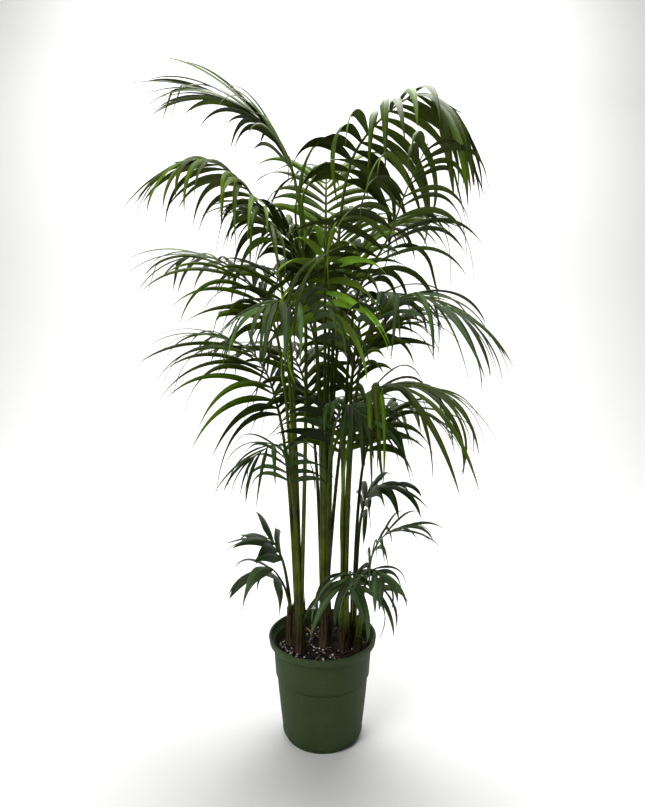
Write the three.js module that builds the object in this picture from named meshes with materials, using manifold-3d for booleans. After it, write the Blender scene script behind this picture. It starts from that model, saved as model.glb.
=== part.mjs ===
// A potted kentia palm: a tapered nursery pot, its soil, young palms planted together, and each
// palm's fronds, which rise from its stem on long stalks and arch outwards.
//
// Millimetres, +Z up. The origin is the centre of the pot's flat underside. +Y points to the
// back of the plant, so headings run 0 = right, 90 = back, 180 = left, 270 = front.

import * as THREE from "three";
import { mergeVertices } from "three/addons/utils/BufferGeometryUtils.js";
import Module from "manifold-3d";

const wasm = await Module();
wasm.setup();

// ---------------------------------------------------------------- driving dimensions

const POT_HEIGHT = 277;
const RIM_RADIUS = 140;
const RIM_DEPTH = 19;
const BODY_TOP_RADIUS = 127;
const SHOULDER_RADIUS = 121;
const BODY_FOOT_RADIUS = 105;
const FOOT_RADIUS = 98;
const SHOULDER_DROP = 74; // from the rim's top edge down to the stacking shoulder
const SHOULDER_STEP = 2.2; // how far the wall steps out there
const SHOULDER_RISE = 3; // the height of that step
const FOOT_HEIGHT = 9;
const BODY_FOOT_HEIGHT = 24;
const LIP = 8; // the rim's top, from its outer face in to the wall's inside
const RIM_ROUND = 3; // how far the rim's edges are rounded off
const WALL = 2.6;
const POT_SIDES = 32;
const DRAIN_SIDES = 8;
const DRAIN_HOLES = 8;
const DRAIN_RADIUS = 6;
const DRAIN_CIRCLE = 78;

const SOIL_LEVEL = 236;
const SOIL_MOUND = 7;
const MOUND_SHOULDER = 0.6; // share of the mound's radius, and of its height there
const GAP = 0.3; // air between pieces that touch

const STEM_BURIED = 60;
const STEM_FOOT_DEPTH = 5; // the stem is thickest this far under the soil
const STEM_ROOT_TAPER = 0.85;
const STEM_SIDES = 10;
const SOCKET_DEPTH = 40;
const SOCKET_WALL = 5.5; // from a socket's centre line out to the side of the stem's top
const STALK_STEPS = 5;
const STALK_FOOT_RADIUS = 3.6;
const STALK_BLADE_RADIUS = 3.2;
const STALK_TIP_RADIUS = 1.4;
const LEAFLET_THICKNESS = 1.5;
const LEAFLET_ROOT = 4; // width where it joins the rachis
const LEAFLET_WIDEST = 0.32; // share of its length
const LEAFLET_SHOULDER = 0.68;
const SHOULDER_WIDTH = 0.8; // share of its width
const LEAFLET_NECK = 0.14;
const LAST_PAIR = 0.98; // share of the centreline
const LENGTH_ARC = [0.35, 0.85]; // the part of a sine's half wave that the leaflets' lengths follow
const LAST_WIDTH = 0.7; // the last leaflets' width, as a share of the lowest ones'
const TURN_POWER = 1.2; // above 1, leaflets keep the lowest ones' angle for longer
const SPREAD = [58, 18]; // the angle of the lowest and of the last leaflets to the rachis

// Palms: where each stem stands on the soil, how high it is above the soil, and its radius there.
const PALMS = {
  left: { x: -60, y: -24, height: 150, foot: 15, top: 14 },
  middle: { x: 6, y: 8, height: 130, foot: 15, top: 14 },
  right: { x: 56, y: -16, height: 90, foot: 14, top: 13 },
  back: { x: 8, y: 58, height: 120, foot: 14, top: 13 },
  outer: { x: 80, y: 30, height: 60, foot: 12, top: 11 },
  sprout: { x: 92, y: -26, height: 50, foot: 10.5, top: 9.5 },
  shoot: { x: -86, y: 16, height: 110, foot: 10.5, top: 9.5 },
};

// Fronds. socket is where the stalk leaves its stem and heading the way it arches, both in degrees.
// path gives [reach, height] points that the rachis passes: how far out from the palm's axis, and
// how high above the floor. The first is the collar, where the leaflets begin. blade is the longest
// leaflet's [length, width]. droop is how far a leaflet bends down by its tip, in radians, and spread
// its angle to the rachis and lift its angle off the blade's plane, in degrees: all three go from the
// lowest leaflets to the last. face is the way the blade's plane leans, if it isn't the heading.
const FRONDS = {
  left_top: {
    palm: "left", socket: 334, heading: 181, pairs: 13,
    path: [[5, 1417], [80, 1547], [205, 1612]],
    blade: [370, 24], droop: [1.0, 0.7], lift: [-5, -5], spread: [38, 12],
  },
  left_upper: {
    palm: "left", socket: 231, heading: 202, pairs: 13,
    path: [[59, 1275], [135, 1401], [215, 1442], [280, 1429]],
    blade: [300, 22], droop: [1.6, 1.1], lift: [-8, -8], spread: [66, 22],
  },
  left_middle: {
    palm: "left", socket: 129, heading: 158, pairs: 12,
    path: [[57, 1060], [113, 1164], [213, 1236], [300, 1252]],
    blade: [350, 20], droop: [1.2, 1.0], lift: [0, 0], spread: [66, 22],
  },
  left_lower: {
    palm: "left", socket: 180, heading: 154, pairs: 14,
    path: [[52, 855], [112, 992], [220, 1052]],
    blade: [430, 20], droop: [1.2, 1.0], lift: [0, 0], spread: [70, 22],
  },
  left_small: {
    palm: "left", socket: 283, heading: 235, pairs: 8,
    path: [[30, 696], [79, 797], [170, 787]],
    blade: [230, 16], droop: [1.4, 1.3], lift: [4, 4],
  },
  right_top: {
    palm: "middle", socket: 0, heading: 335, pairs: 14,
    path: [[54, 1412], [103, 1507], [228, 1582], [320, 1532]],
    blade: [345, 28], droop: [1.9, 1.5], lift: [12, -38], spread: [80, 28], face: 308,
  },
  right_tall: {
    palm: "right", socket: 216, heading: 305, pairs: 14,
    path: [[40, 1137], [148, 1266], [212, 1368], [269, 1444]],
    blade: [480, 21], droop: [1.15, 1.2], lift: [6, 6], spread: [74, 42],
  },
  front_left: {
    palm: "middle", socket: 206, heading: 238, pairs: 10,
    path: [[45, 1042], [120, 1130], [260, 1122]],
    blade: [290, 22], droop: [1.3, 1.2], lift: [8, 8],
  },
  front_right: {
    palm: "right", socket: 288, heading: 326, pairs: 11,
    path: [[70, 1077], [170, 1147], [310, 1102]],
    blade: [300, 20], droop: [1.4, 1.3], lift: [8, 8],
  },
  new_middle: {
    palm: "middle", socket: 257, heading: 270, pairs: 5,
    path: [[55, 1102], [110, 1197], [150, 1257]],
    blade: [265, 28], droop: [2.0, 0.9], lift: [-42, 0], spread: [74, 16],
  },
  right_middle: {
    palm: "middle", socket: 51, heading: 25, pairs: 13,
    path: [[65, 900], [112, 1025], [244, 1107]],
    blade: [340, 23], droop: [1.1, 1.0], lift: [10, 10],
  },
  right_lower: {
    palm: "right", socket: 0, heading: 338, pairs: 12,
    path: [[20, 820], [77, 926], [210, 932]],
    blade: [470, 23], droop: [1.6, 1.6], lift: [6, 6], spread: [66, 30],
  },
  outer_low: {
    palm: "outer", socket: 60, heading: 35, pairs: 11,
    path: [[40, 752], [110, 852], [230, 842]],
    blade: [300, 22], droop: [1.2, 1.1], lift: [8, 8],
  },
  left_back: {
    palm: "left", socket: 77, heading: 118, pairs: 12,
    path: [[50, 1072], [120, 1202], [260, 1232]],
    blade: [320, 22], droop: [1.1, 1.0], lift: [10, 10],
  },
  back_top: {
    palm: "middle", socket: 103, heading: 88, pairs: 12,
    path: [[50, 1312], [110, 1442], [240, 1502]],
    blade: [310, 22], droop: [1.2, 1.0], lift: [10, 10],
  },
  back_left: {
    palm: "middle", socket: 154, heading: 130, pairs: 12,
    path: [[60, 872], [130, 992], [270, 1022]],
    blade: [320, 22], droop: [1.2, 1.0], lift: [10, 10],
  },
  back_high: {
    palm: "back", socket: 90, heading: 70, pairs: 12,
    path: [[45, 1172], [105, 1312], [220, 1392]],
    blade: [320, 22], droop: [1.2, 1.0], lift: [10, 10],
  },
  back_centre: {
    palm: "back", socket: 200, heading: 205, pairs: 12,
    path: [[35, 1122], [80, 1262], [180, 1342]],
    blade: [320, 24], droop: [1.2, 1.0], lift: [10, 10],
  },
  back_side: {
    palm: "back", socket: 0, heading: 15, pairs: 12,
    path: [[50, 1152], [115, 1292], [240, 1342]],
    blade: [330, 24], droop: [1.2, 1.0], lift: [10, 10],
  },
  back_fan: {
    palm: "back", socket: 145, heading: 150, pairs: 12,
    path: [[50, 1192], [110, 1322], [230, 1392]],
    blade: [320, 22], droop: [1.2, 1.0], lift: [10, 10],
  },
  front_low: {
    palm: "middle", socket: 309, heading: 294, pairs: 10,
    path: [[40, 792], [110, 892], [220, 882]],
    blade: [270, 24], droop: [1.1, 1.1], lift: [8, 8],
  },
  back_right: {
    palm: "right", socket: 72, heading: 62, pairs: 12,
    path: [[50, 1002], [120, 1132], [260, 1162]],
    blade: [320, 22], droop: [1.1, 1.0], lift: [10, 10],
  },
  back_low: {
    palm: "right", socket: 144, heading: 98, pairs: 11,
    path: [[45, 752], [115, 862], [230, 872]],
    blade: [300, 22], droop: [1.1, 1.0], lift: [10, 10],
  },
  young_right: {
    palm: "outer", socket: 0, heading: 355, pairs: 5,
    path: [[22, 592], [45, 657], [115, 677]],
    blade: [210, 34], droop: [1.2, 1.2], lift: [5, 5],
  },
  young_front: {
    palm: "outer", socket: 240, heading: 262, pairs: 6,
    path: [[45, 412], [80, 467], [122, 452]],
    blade: [230, 30], droop: [1.8, 1.8], lift: [-5, -5], spread: [76, 34],
  },
  young_far: {
    palm: "sprout", socket: 0, heading: 350, pairs: 8,
    path: [[25, 472], [60, 552], [120, 582]],
    blade: [240, 19], droop: [1.3, 1.2], lift: [8, 8],
  },
  young_outer: {
    palm: "sprout", socket: 180, heading: 300, pairs: 6,
    path: [[25, 412], [55, 482], [100, 482]],
    blade: [190, 24], droop: [1.6, 1.6], lift: [0, 0], spread: [66, 30],
  },
  young_left: {
    palm: "shoot", socket: 270, heading: 196, pairs: 3,
    path: [[20, 412], [55, 457], [90, 452]],
    blade: [225, 46], droop: [1.6, 1.1], lift: [0, 0], spread: [60, 20],
  },
  young_back: {
    palm: "shoot", socket: 90, heading: 170, pairs: 3,
    path: [[20, 472], [50, 522], [85, 527]],
    blade: [190, 40], droop: [0.9, 0.7], lift: [0, 0], spread: [56, 20],
  },
};

// ---------------------------------------------------------------- solids

const DOWN = new THREE.Vector3(0, 0, -1);
const radians = THREE.MathUtils.degToRad;
const mix = THREE.MathUtils.lerp;

function solidFrom(geometry) {
  const bare = new THREE.BufferGeometry();
  const source = geometry.index ? geometry.toNonIndexed() : geometry;
  bare.setAttribute("position", source.getAttribute("position"));
  const merged = mergeVertices(bare, 1e-3);
  return new wasm.Manifold(
    new wasm.Mesh({
      numProp: 3,
      vertProperties: merged.attributes.position.array,
      triVerts: new Uint32Array(merged.index.array),
    }),
  );
}

function geometryFrom(solid) {
  const { vertProperties, triVerts } = solid.getMesh();
  const geometry = new THREE.BufferGeometry();
  geometry.setAttribute("position", new THREE.BufferAttribute(vertProperties, 3));
  geometry.setIndex(new THREE.BufferAttribute(triVerts, 1));
  const faceted = geometry.toNonIndexed();
  faceted.computeVertexNormals();
  return faceted;
}

// The faces between four corners of a skin, split along the diagonal that bulges outwards, so that the
// walls of a turned piece don't pass through each other. Two corners that are one give a triangle.
function wall(points, a, b, c, d) {
  if (c === d) return [a, b, c];
  if (a === b) return [a, c, d];
  const from = (start, end) => points[end].clone().sub(points[start]);
  const bulges = from(a, b).cross(from(a, c)).dot(from(a, d)) > 0;
  return bulges ? [a, b, d, b, c, d] : [a, b, c, a, c, d];
}

// A closed skin over a row of rings, each a list of the same number of points. A ring of one point
// is a sharp end; a first or last ring of more points gets a flat cap.
function loft(rings) {
  const points = rings.flat();
  const starts = [];
  let count = 0;
  for (const ring of rings) {
    starts.push(count);
    count += ring.length;
  }
  const faces = [];
  for (let r = 0; r + 1 < rings.length; r += 1) {
    const [a, b] = [starts[r], starts[r + 1]];
    const [na, nb] = [rings[r].length, rings[r + 1].length];
    for (let i = 0; i < Math.max(na, nb); i += 1) {
      const j = (i + 1) % Math.max(na, nb);
      faces.push(...wall(points, a + (i % na), a + (j % na), b + (j % nb), b + (i % nb)));
    }
  }
  const cap = (start, n, flip) => {
    for (let i = 1; i + 1 < n; i += 1) {
      faces.push(start, start + (flip ? i + 1 : i), start + (flip ? i : i + 1));
    }
  };
  cap(starts[0], rings[0].length, true);
  cap(starts.at(-1), rings.at(-1).length, false);
  const geometry = new THREE.BufferGeometry().setFromPoints(points);
  geometry.setIndex(faces);
  return solidFrom(geometry);
}

function lathe(profile, sides = POT_SIDES) {
  const points = profile.map(([r, z]) => new THREE.Vector2(r, z));
  const geometry = new THREE.LatheGeometry(points, sides);
  geometry.rotateX(Math.PI / 2);
  return solidFrom(geometry);
}

// ---------------------------------------------------------------- pot and soil

// The pot's outer wall as [radius, height], from its foot up to just under the rim.
const SHOULDER = POT_HEIGHT - SHOULDER_DROP;
const UNDER_RIM = POT_HEIGHT - RIM_DEPTH;
const WALL_OUTSIDE = [
  [FOOT_RADIUS, FOOT_HEIGHT],
  [BODY_FOOT_RADIUS, BODY_FOOT_HEIGHT],
  [SHOULDER_RADIUS, SHOULDER],
  [SHOULDER_RADIUS + SHOULDER_STEP, SHOULDER + SHOULDER_RISE],
  [BODY_TOP_RADIUS, UNDER_RIM],
];

// The wall's inside, or a line set further in from it, from the floor upwards.
function insideWall(inset) {
  return [
    [FOOT_RADIUS - inset, inset],
    [BODY_FOOT_RADIUS - inset, BODY_FOOT_HEIGHT],
    [SHOULDER_RADIUS - inset, SHOULDER],
    [BODY_TOP_RADIUS - inset, UNDER_RIM],
  ];
}

function makePot() {
  const shell = lathe([
    [0, 0],
    [FOOT_RADIUS, 0],
    ...WALL_OUTSIDE,
    [RIM_RADIUS - RIM_ROUND, UNDER_RIM + 1],
    [RIM_RADIUS, UNDER_RIM + LIP],
    [RIM_RADIUS - RIM_ROUND, POT_HEIGHT],
    [RIM_RADIUS - LIP, POT_HEIGHT - 1],
    ...insideWall(WALL).reverse(),
    [0, WALL],
  ]);
  const drain = new THREE.CylinderGeometry(DRAIN_RADIUS, DRAIN_RADIUS, 4 * WALL, DRAIN_SIDES);
  drain.rotateX(Math.PI / 2);
  drain.translate(DRAIN_CIRCLE, 0, 0);
  let pot = shell;
  for (let i = 0; i < DRAIN_HOLES; i += 1) {
    const turned = drain.clone().rotateZ((i * 2 * Math.PI) / DRAIN_HOLES);
    pot = pot.subtract(solidFrom(turned));
  }
  return pot;
}

function makeSoil() {
  const wall = insideWall(WALL + GAP).slice(0, 3);
  const slope = (BODY_TOP_RADIUS - SHOULDER_RADIUS) / (UNDER_RIM - SHOULDER);
  const edge = SHOULDER_RADIUS - WALL - GAP + (SOIL_LEVEL - SHOULDER) * slope;
  return lathe([
    [0, WALL + GAP],
    ...wall,
    [edge, SOIL_LEVEL],
    [MOUND_SHOULDER * edge, SOIL_LEVEL + MOUND_SHOULDER * SOIL_MOUND],
    [0, SOIL_LEVEL + SOIL_MOUND],
  ]);
}

// ---------------------------------------------------------------- palms

const stemTop = (palm) => SOIL_LEVEL + palm.height;

// A tapered stem wrapped in old leaf sheaths, thickest at the soil, its lower end buried.
function makeStem(palm, grow = 0) {
  const levels = [
    [SOIL_LEVEL - STEM_BURIED, STEM_ROOT_TAPER * palm.foot],
    [SOIL_LEVEL - STEM_FOOT_DEPTH, palm.foot],
    [stemTop(palm), palm.top],
  ];
  const rings = levels.map(([z, r]) => ring(
    new THREE.Vector3(palm.x, palm.y, z),
    new THREE.Vector3(1, 0, 0),
    new THREE.Vector3(0, 1, 0),
    r + grow,
    STEM_SIDES,
  ));
  return loft(rings);
}

function ring(centre, across, over, radius, sides, start = 0) {
  const points = [];
  for (let i = 0; i < sides; i += 1) {
    const turn = start + (i * 2 * Math.PI) / sides;
    points.push(centre.clone()
      .addScaledVector(across, radius * Math.cos(turn))
      .addScaledVector(over, radius * Math.sin(turn)));
  }
  return points;
}

function outwards(palm, heading, reach, height) {
  const turn = radians(heading);
  return new THREE.Vector3(
    palm.x + reach * Math.cos(turn),
    palm.y + reach * Math.sin(turn),
    height,
  );
}

// The frond's centreline, up out of its socket in the stem and along its path to the tip, and the
// share of its length at which the leaflets begin.
function centreline(frond) {
  const palm = PALMS[frond.palm];
  const socket = palm.top - SOCKET_WALL;
  const points = [
    outwards(palm, frond.socket, socket, stemTop(palm) - SOCKET_DEPTH),
    outwards(palm, frond.socket, socket, stemTop(palm)),
    ...frond.path.map(([reach, height]) => outwards(palm, frond.heading, reach, height)),
  ];
  const curve = new THREE.CatmullRomCurve3(points, false, "centripetal");
  const steps = curve.arcLengthDivisions;
  const lengths = curve.getLengths(steps);
  const collar = lengths[Math.round((2 * steps) / (points.length - 1))] / lengths.at(-1);
  return { curve, collar };
}

// The rachis' own axes at a share of its length: along it, across the blade, and over it.
function axesAt(frond, curve, share) {
  const along = curve.getTangentAt(share);
  const turn = radians(frond.face ?? frond.heading);
  const across = new THREE.Vector3(-Math.sin(turn), Math.cos(turn), 0);
  across.addScaledVector(along, -across.dot(along)).normalize();
  const over = along.clone().cross(across).normalize();
  return { at: curve.getPointAt(share), along, across, over };
}

// Shares of the centreline at which pairs of leaflets leave it, from the collar almost to the tip.
function nodesOf(frond, collar) {
  const last = frond.pairs - 1;
  return Array.from({ length: frond.pairs }, (_, i) => mix(collar, LAST_PAIR, i / last));
}

// The stalk's three corners at a share of the centreline: right, top and left.
function stalkRing(frond, line, share, grow = 0) {
  const { at, across, over } = axesAt(frond, line.curve, share);
  const radius = share < line.collar
    ? mix(STALK_FOOT_RADIUS, STALK_BLADE_RADIUS, share / line.collar)
    : mix(STALK_BLADE_RADIUS, STALK_TIP_RADIUS, (share - line.collar) / (1 - line.collar));
  return ring(at, across, over, radius + grow, 3, -Math.PI / 6);
}

// The stalk's stations from foot to tip. Leaflets sit between the two stations of a pair.
function stationsOf(frond, line) {
  const half = (0.5 * LEAFLET_ROOT) / line.curve.getLength();
  const stations = [];
  for (let i = 0; i < STALK_STEPS; i += 1) {
    stations.push({ share: (line.collar * i) / STALK_STEPS });
  }
  nodesOf(frond, line.collar).forEach((share, pair) => {
    stations.push({ share: share - half, pair }, { share: share + half });
  });
  stations.push({ share: 1 });
  return stations;
}

function makeStalk(frond, grow = 0) {
  const line = centreline(frond);
  return loft(stationsOf(frond, line).map(({ share }) => stalkRing(frond, line, share, grow)));
}

// ---------------------------------------------------------------- leaflets

// Leaflets along the blade: longest a third of the way up, and turned more and more to the tip.
function leafletsOf(frond) {
  const line = centreline(frond);
  const [length, width] = frond.blade;
  const [low, last] = frond.spread ?? SPREAD;
  return nodesOf(frond, line.collar).flatMap((share, pair) => {
    const along = pair / (frond.pairs - 1);
    const size = Math.sin(Math.PI * mix(...LENGTH_ARC, along));
    return [1, -1].map((side) => ({
      pair,
      side,
      axes: axesAt(frond, line.curve, share),
      length: length * size,
      width: width * mix(1, LAST_WIDTH, along),
      angle: radians(mix(low, last, along ** TURN_POWER)),
      lift: radians(mix(...frond.lift, along)),
      droop: mix(...frond.droop, along),
    }));
  });
}

// A leaflet's midrib leaves the rachis straight and bends evenly down. Its sections have three sides and
// a ridge on top: foot side, ridge, tip side, turned so that each runs anticlockwise from its tip.
function leafletSections(leaflet, grow = 0) {
  const { axes, side, length, width, angle, lift, droop } = leaflet;
  const out = axes.along.clone().multiplyScalar(Math.cos(angle))
    .addScaledVector(axes.across, side * Math.sin(angle) * Math.cos(lift))
    .addScaledVector(axes.over, Math.sin(angle) * Math.sin(lift));
  const spread = axes.along.clone().addScaledVector(out, -axes.along.dot(out)).normalize();
  const midrib = (t) => axes.at.clone()
    .addScaledVector(out, (length * Math.sin(droop * t)) / droop)
    .addScaledVector(DOWN, (length * (1 - Math.cos(droop * t))) / droop);
  const section = (t, wide) => {
    const run = midrib(t + 0.01).sub(midrib(t - 0.01)).normalize();
    const up = spread.clone().cross(run).normalize().multiplyScalar(side);
    const half = 0.5 * wide + grow;
    const thick = 0.5 * LEAFLET_THICKNESS + grow;
    const footSide = midrib(t).addScaledVector(spread, -half).addScaledVector(up, -thick);
    const ridge = midrib(t).addScaledVector(up, thick);
    const tipSide = midrib(t).addScaledVector(spread, half).addScaledVector(up, -thick);
    return side > 0 ? [footSide, ridge, tipSide] : [ridge, footSide, tipSide];
  };
  return {
    root: section(0, LEAFLET_ROOT),
    neck: section(LEAFLET_NECK, mix(LEAFLET_ROOT, width, LEAFLET_NECK / LEAFLET_WIDEST)),
    blade: [section(LEAFLET_WIDEST, width), section(LEAFLET_SHOULDER, SHOULDER_WIDTH * width)],
    tip: midrib(1 + grow / length),
  };
}

// A frond as one skin: a three-sided stalk whose upper faces open out into the leaflets.
function makeFrond(frond, leaflets) {
  const line = centreline(frond);
  const points = [];
  const faces = [];
  const store = (corners) => corners.map((corner) => points.push(corner) - 1);
  const bridge = (from, to) => from.forEach((a, i) => {
    const j = (i + 1) % from.length;
    faces.push(...wall(points, a, from[j], to[j], to[i]));
  });
  const quad = (a, b, c, d) => faces.push(a, b, c, a, c, d);
  const grow = (leaflet, base) => {
    const { blade, tip } = leafletSections(leaflet);
    const [wide, narrow] = blade.map(store);
    const [first, second, third] = wide;
    bridge(base, leaflet.side > 0 ? [first, second, second, third] : [first, second, third, first]);
    bridge(wide, narrow);
    bridge(narrow, Array(3).fill(store([tip])[0]));
  };
  const stations = stationsOf(frond, line);
  const rings = stations.map(({ share }) => store(stalkRing(frond, line, share)));
  faces.push(...rings[0].toReversed(), ...rings.at(-1));
  for (let i = 0; i + 1 < rings.length; i += 1) {
    const [right, top, left] = rings[i];
    const [nextRight, nextTop, nextLeft] = rings[i + 1];
    quad(left, right, nextRight, nextLeft);
    for (const side of [1, -1]) {
      const base = side > 0 ? [right, top, nextTop, nextRight] : [top, left, nextLeft, nextTop];
      const here = leaflets.find(({ pair, side: at }) => pair === stations[i].pair && at === side);
      if (here) grow(here, base);
      else quad(...base);
    }
  }
  const geometry = new THREE.BufferGeometry().setFromPoints(points);
  geometry.setIndex(faces);
  return solidFrom(geometry);
}

// ---------------------------------------------------------------- clearance

// A leaflet that would touch something is turned and lifted, then shortened, until it is free.
const SCALES = [1, 0.8, 0.6, 0.4];
const LIFTS = [0, 14, -14, 28, -28];
const TURNS = [0, 9, -9];

const boxed = (name, solid) => ({ name, solid, box: solid.boundingBox() });

function touches(solid, pieces) {
  const box = solid.boundingBox();
  const overlaps = (other, k) => box.min[k] < other.max[k] && other.min[k] < box.max[k];
  return pieces.some((piece) => [0, 1, 2].every((k) => overlaps(piece.box, k))
    && !solid.intersect(piece.solid).isEmpty());
}

function isFree(leaflet, ownStalk, others) {
  const { root, neck, blade, tip } = leafletSections(leaflet, GAP);
  return !touches(loft([root, ...blade, [tip]]), others)
    && !touches(loft([neck, ...blade, [tip]]), [ownStalk]);
}

function settle(leaflet, ownStalk, others) {
  for (const scale of SCALES) {
    for (const lift of LIFTS) {
      for (const turn of TURNS) {
        const moved = {
          ...leaflet,
          length: leaflet.length * scale,
          lift: leaflet.lift + radians(lift),
          angle: leaflet.angle + radians(turn),
        };
        if (isFree(moved, ownStalk, others)) return moved;
      }
    }
  }
  return null;
}

// ---------------------------------------------------------------- assembly

const MATERIALS = {
  pot: new THREE.MeshStandardMaterial({ color: 0x3c5238, roughness: 0.6 }),
  soil: new THREE.MeshStandardMaterial({ color: 0x2b221c, roughness: 1 }),
  stem: new THREE.MeshStandardMaterial({ color: 0x5a4030, roughness: 0.9 }),
  frond: new THREE.MeshStandardMaterial({ color: 0x2f4d1c, roughness: 0.5 }),
};

const plant = new THREE.Group();

function add(name, solid, material) {
  const mesh = new THREE.Mesh(geometryFrom(solid), MATERIALS[material]);
  mesh.name = name;
  plant.add(mesh);
}

const pot = makePot();
add("nursery_pot", pot, "pot");

let soil = makeSoil();
for (const palm of Object.values(PALMS)) soil = soil.subtract(makeStem(palm, GAP));
add("soil", soil, "soil");

for (const [name, palm] of Object.entries(PALMS)) {
  let stem = makeStem(palm);
  for (const frond of Object.values(FRONDS)) {
    if (frond.palm === name) stem = stem.subtract(makeStalk(frond, GAP));
  }
  add(`stem_${name}`, stem, "stem");
}

const fixed = [boxed("nursery_pot", pot), boxed("soil", soil)];
for (const [name, palm] of Object.entries(PALMS)) fixed.push(boxed(name, makeStem(palm)));
const stalks = Object.entries(FRONDS).map(([name, frond]) => boxed(name, makeStalk(frond)));
const settledLeaflets = [];

for (const [name, frond] of Object.entries(FRONDS)) {
  const ownStalk = stalks.find((stalk) => stalk.name === name);
  const otherStalks = stalks.filter((stalk) => stalk.name !== name);
  const kept = [];
  for (const leaflet of leafletsOf(frond)) {
    const settled = settle(leaflet, ownStalk, [...fixed, ...otherStalks, ...settledLeaflets]);
    if (settled) {
      const { root, blade, tip } = leafletSections(settled);
      settledLeaflets.push(boxed(name, loft([root, ...blade, [tip]])));
      kept.push(settled);
    }
  }
  add(`frond_${name}`, makeFrond(frond, kept), "frond");
}

export default plant;
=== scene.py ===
"""A potted kentia palm: nursery pot, soil with its litter, sheathed stems and arching fronds.

The frame holds the plant's true sizes. Each operator below makes one group of pieces around it.
Every length is in metres. +Z is up, +Y is the plant's back and headings run 0 = right, 90 = back.
"""

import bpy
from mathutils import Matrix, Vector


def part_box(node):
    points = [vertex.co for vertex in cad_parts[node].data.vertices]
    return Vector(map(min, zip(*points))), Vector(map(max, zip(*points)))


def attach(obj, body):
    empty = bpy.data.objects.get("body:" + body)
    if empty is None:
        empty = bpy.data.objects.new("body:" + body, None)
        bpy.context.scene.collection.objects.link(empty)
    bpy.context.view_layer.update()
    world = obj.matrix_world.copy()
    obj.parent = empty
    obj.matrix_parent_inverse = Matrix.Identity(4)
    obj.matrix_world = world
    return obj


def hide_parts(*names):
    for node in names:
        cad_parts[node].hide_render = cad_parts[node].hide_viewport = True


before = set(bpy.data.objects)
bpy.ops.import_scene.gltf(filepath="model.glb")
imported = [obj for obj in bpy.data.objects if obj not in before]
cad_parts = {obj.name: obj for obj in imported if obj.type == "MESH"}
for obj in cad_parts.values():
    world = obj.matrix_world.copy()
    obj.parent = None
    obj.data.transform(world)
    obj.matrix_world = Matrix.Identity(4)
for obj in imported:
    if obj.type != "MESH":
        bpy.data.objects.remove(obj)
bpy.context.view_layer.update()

import math
import random

import bmesh
import bpy
from bpy.props import FloatProperty, FloatVectorProperty, IntProperty, PointerProperty
from mathutils import Vector, noise

bl_info = {
    "name": "Potted kentia palm",
    "version": (1, 0, 0),
    "blender": (4, 5, 0),
    "location": "View3D > Sidebar > Palm",
    "description": "Builds a kentia palm in its nursery pot, piece by piece",
    "category": "Object",
}

BODY = "root"
DOWN = Vector((0.0, 0.0, -1.0))
POT_LOW, POT_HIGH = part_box("nursery_pot")
SOIL_LOW, SOIL_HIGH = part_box("soil")
SOIL_LEVEL = SOIL_HIGH.z - 0.007
PALMS = ("left", "middle", "right", "back", "outer", "sprout", "shoot")
SOCKET_WALL = 0.0055
SOCKET_DEPTH = 0.04


def frond(palm, socket, heading, pairs, path, blade, droop, lift, spread=(58, 18), leaf="mature", kinks=0.04,
          face=None):
    """One frond's facts. socket and heading are degrees, path holds (reach, height) points from the
    collar to the tip, blade is the longest leaflet's (length, width), and droop, lift and spread go
    from the lowest leaflets to the last. face is the way the blade leans, if it isn't the heading."""
    return dict(palm=palm, socket=socket, heading=heading, pairs=pairs, path=path, blade=blade,
                droop=droop, lift=lift, spread=spread, leaf=leaf, kinks=kinks,
                face=heading if face is None else face)


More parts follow.
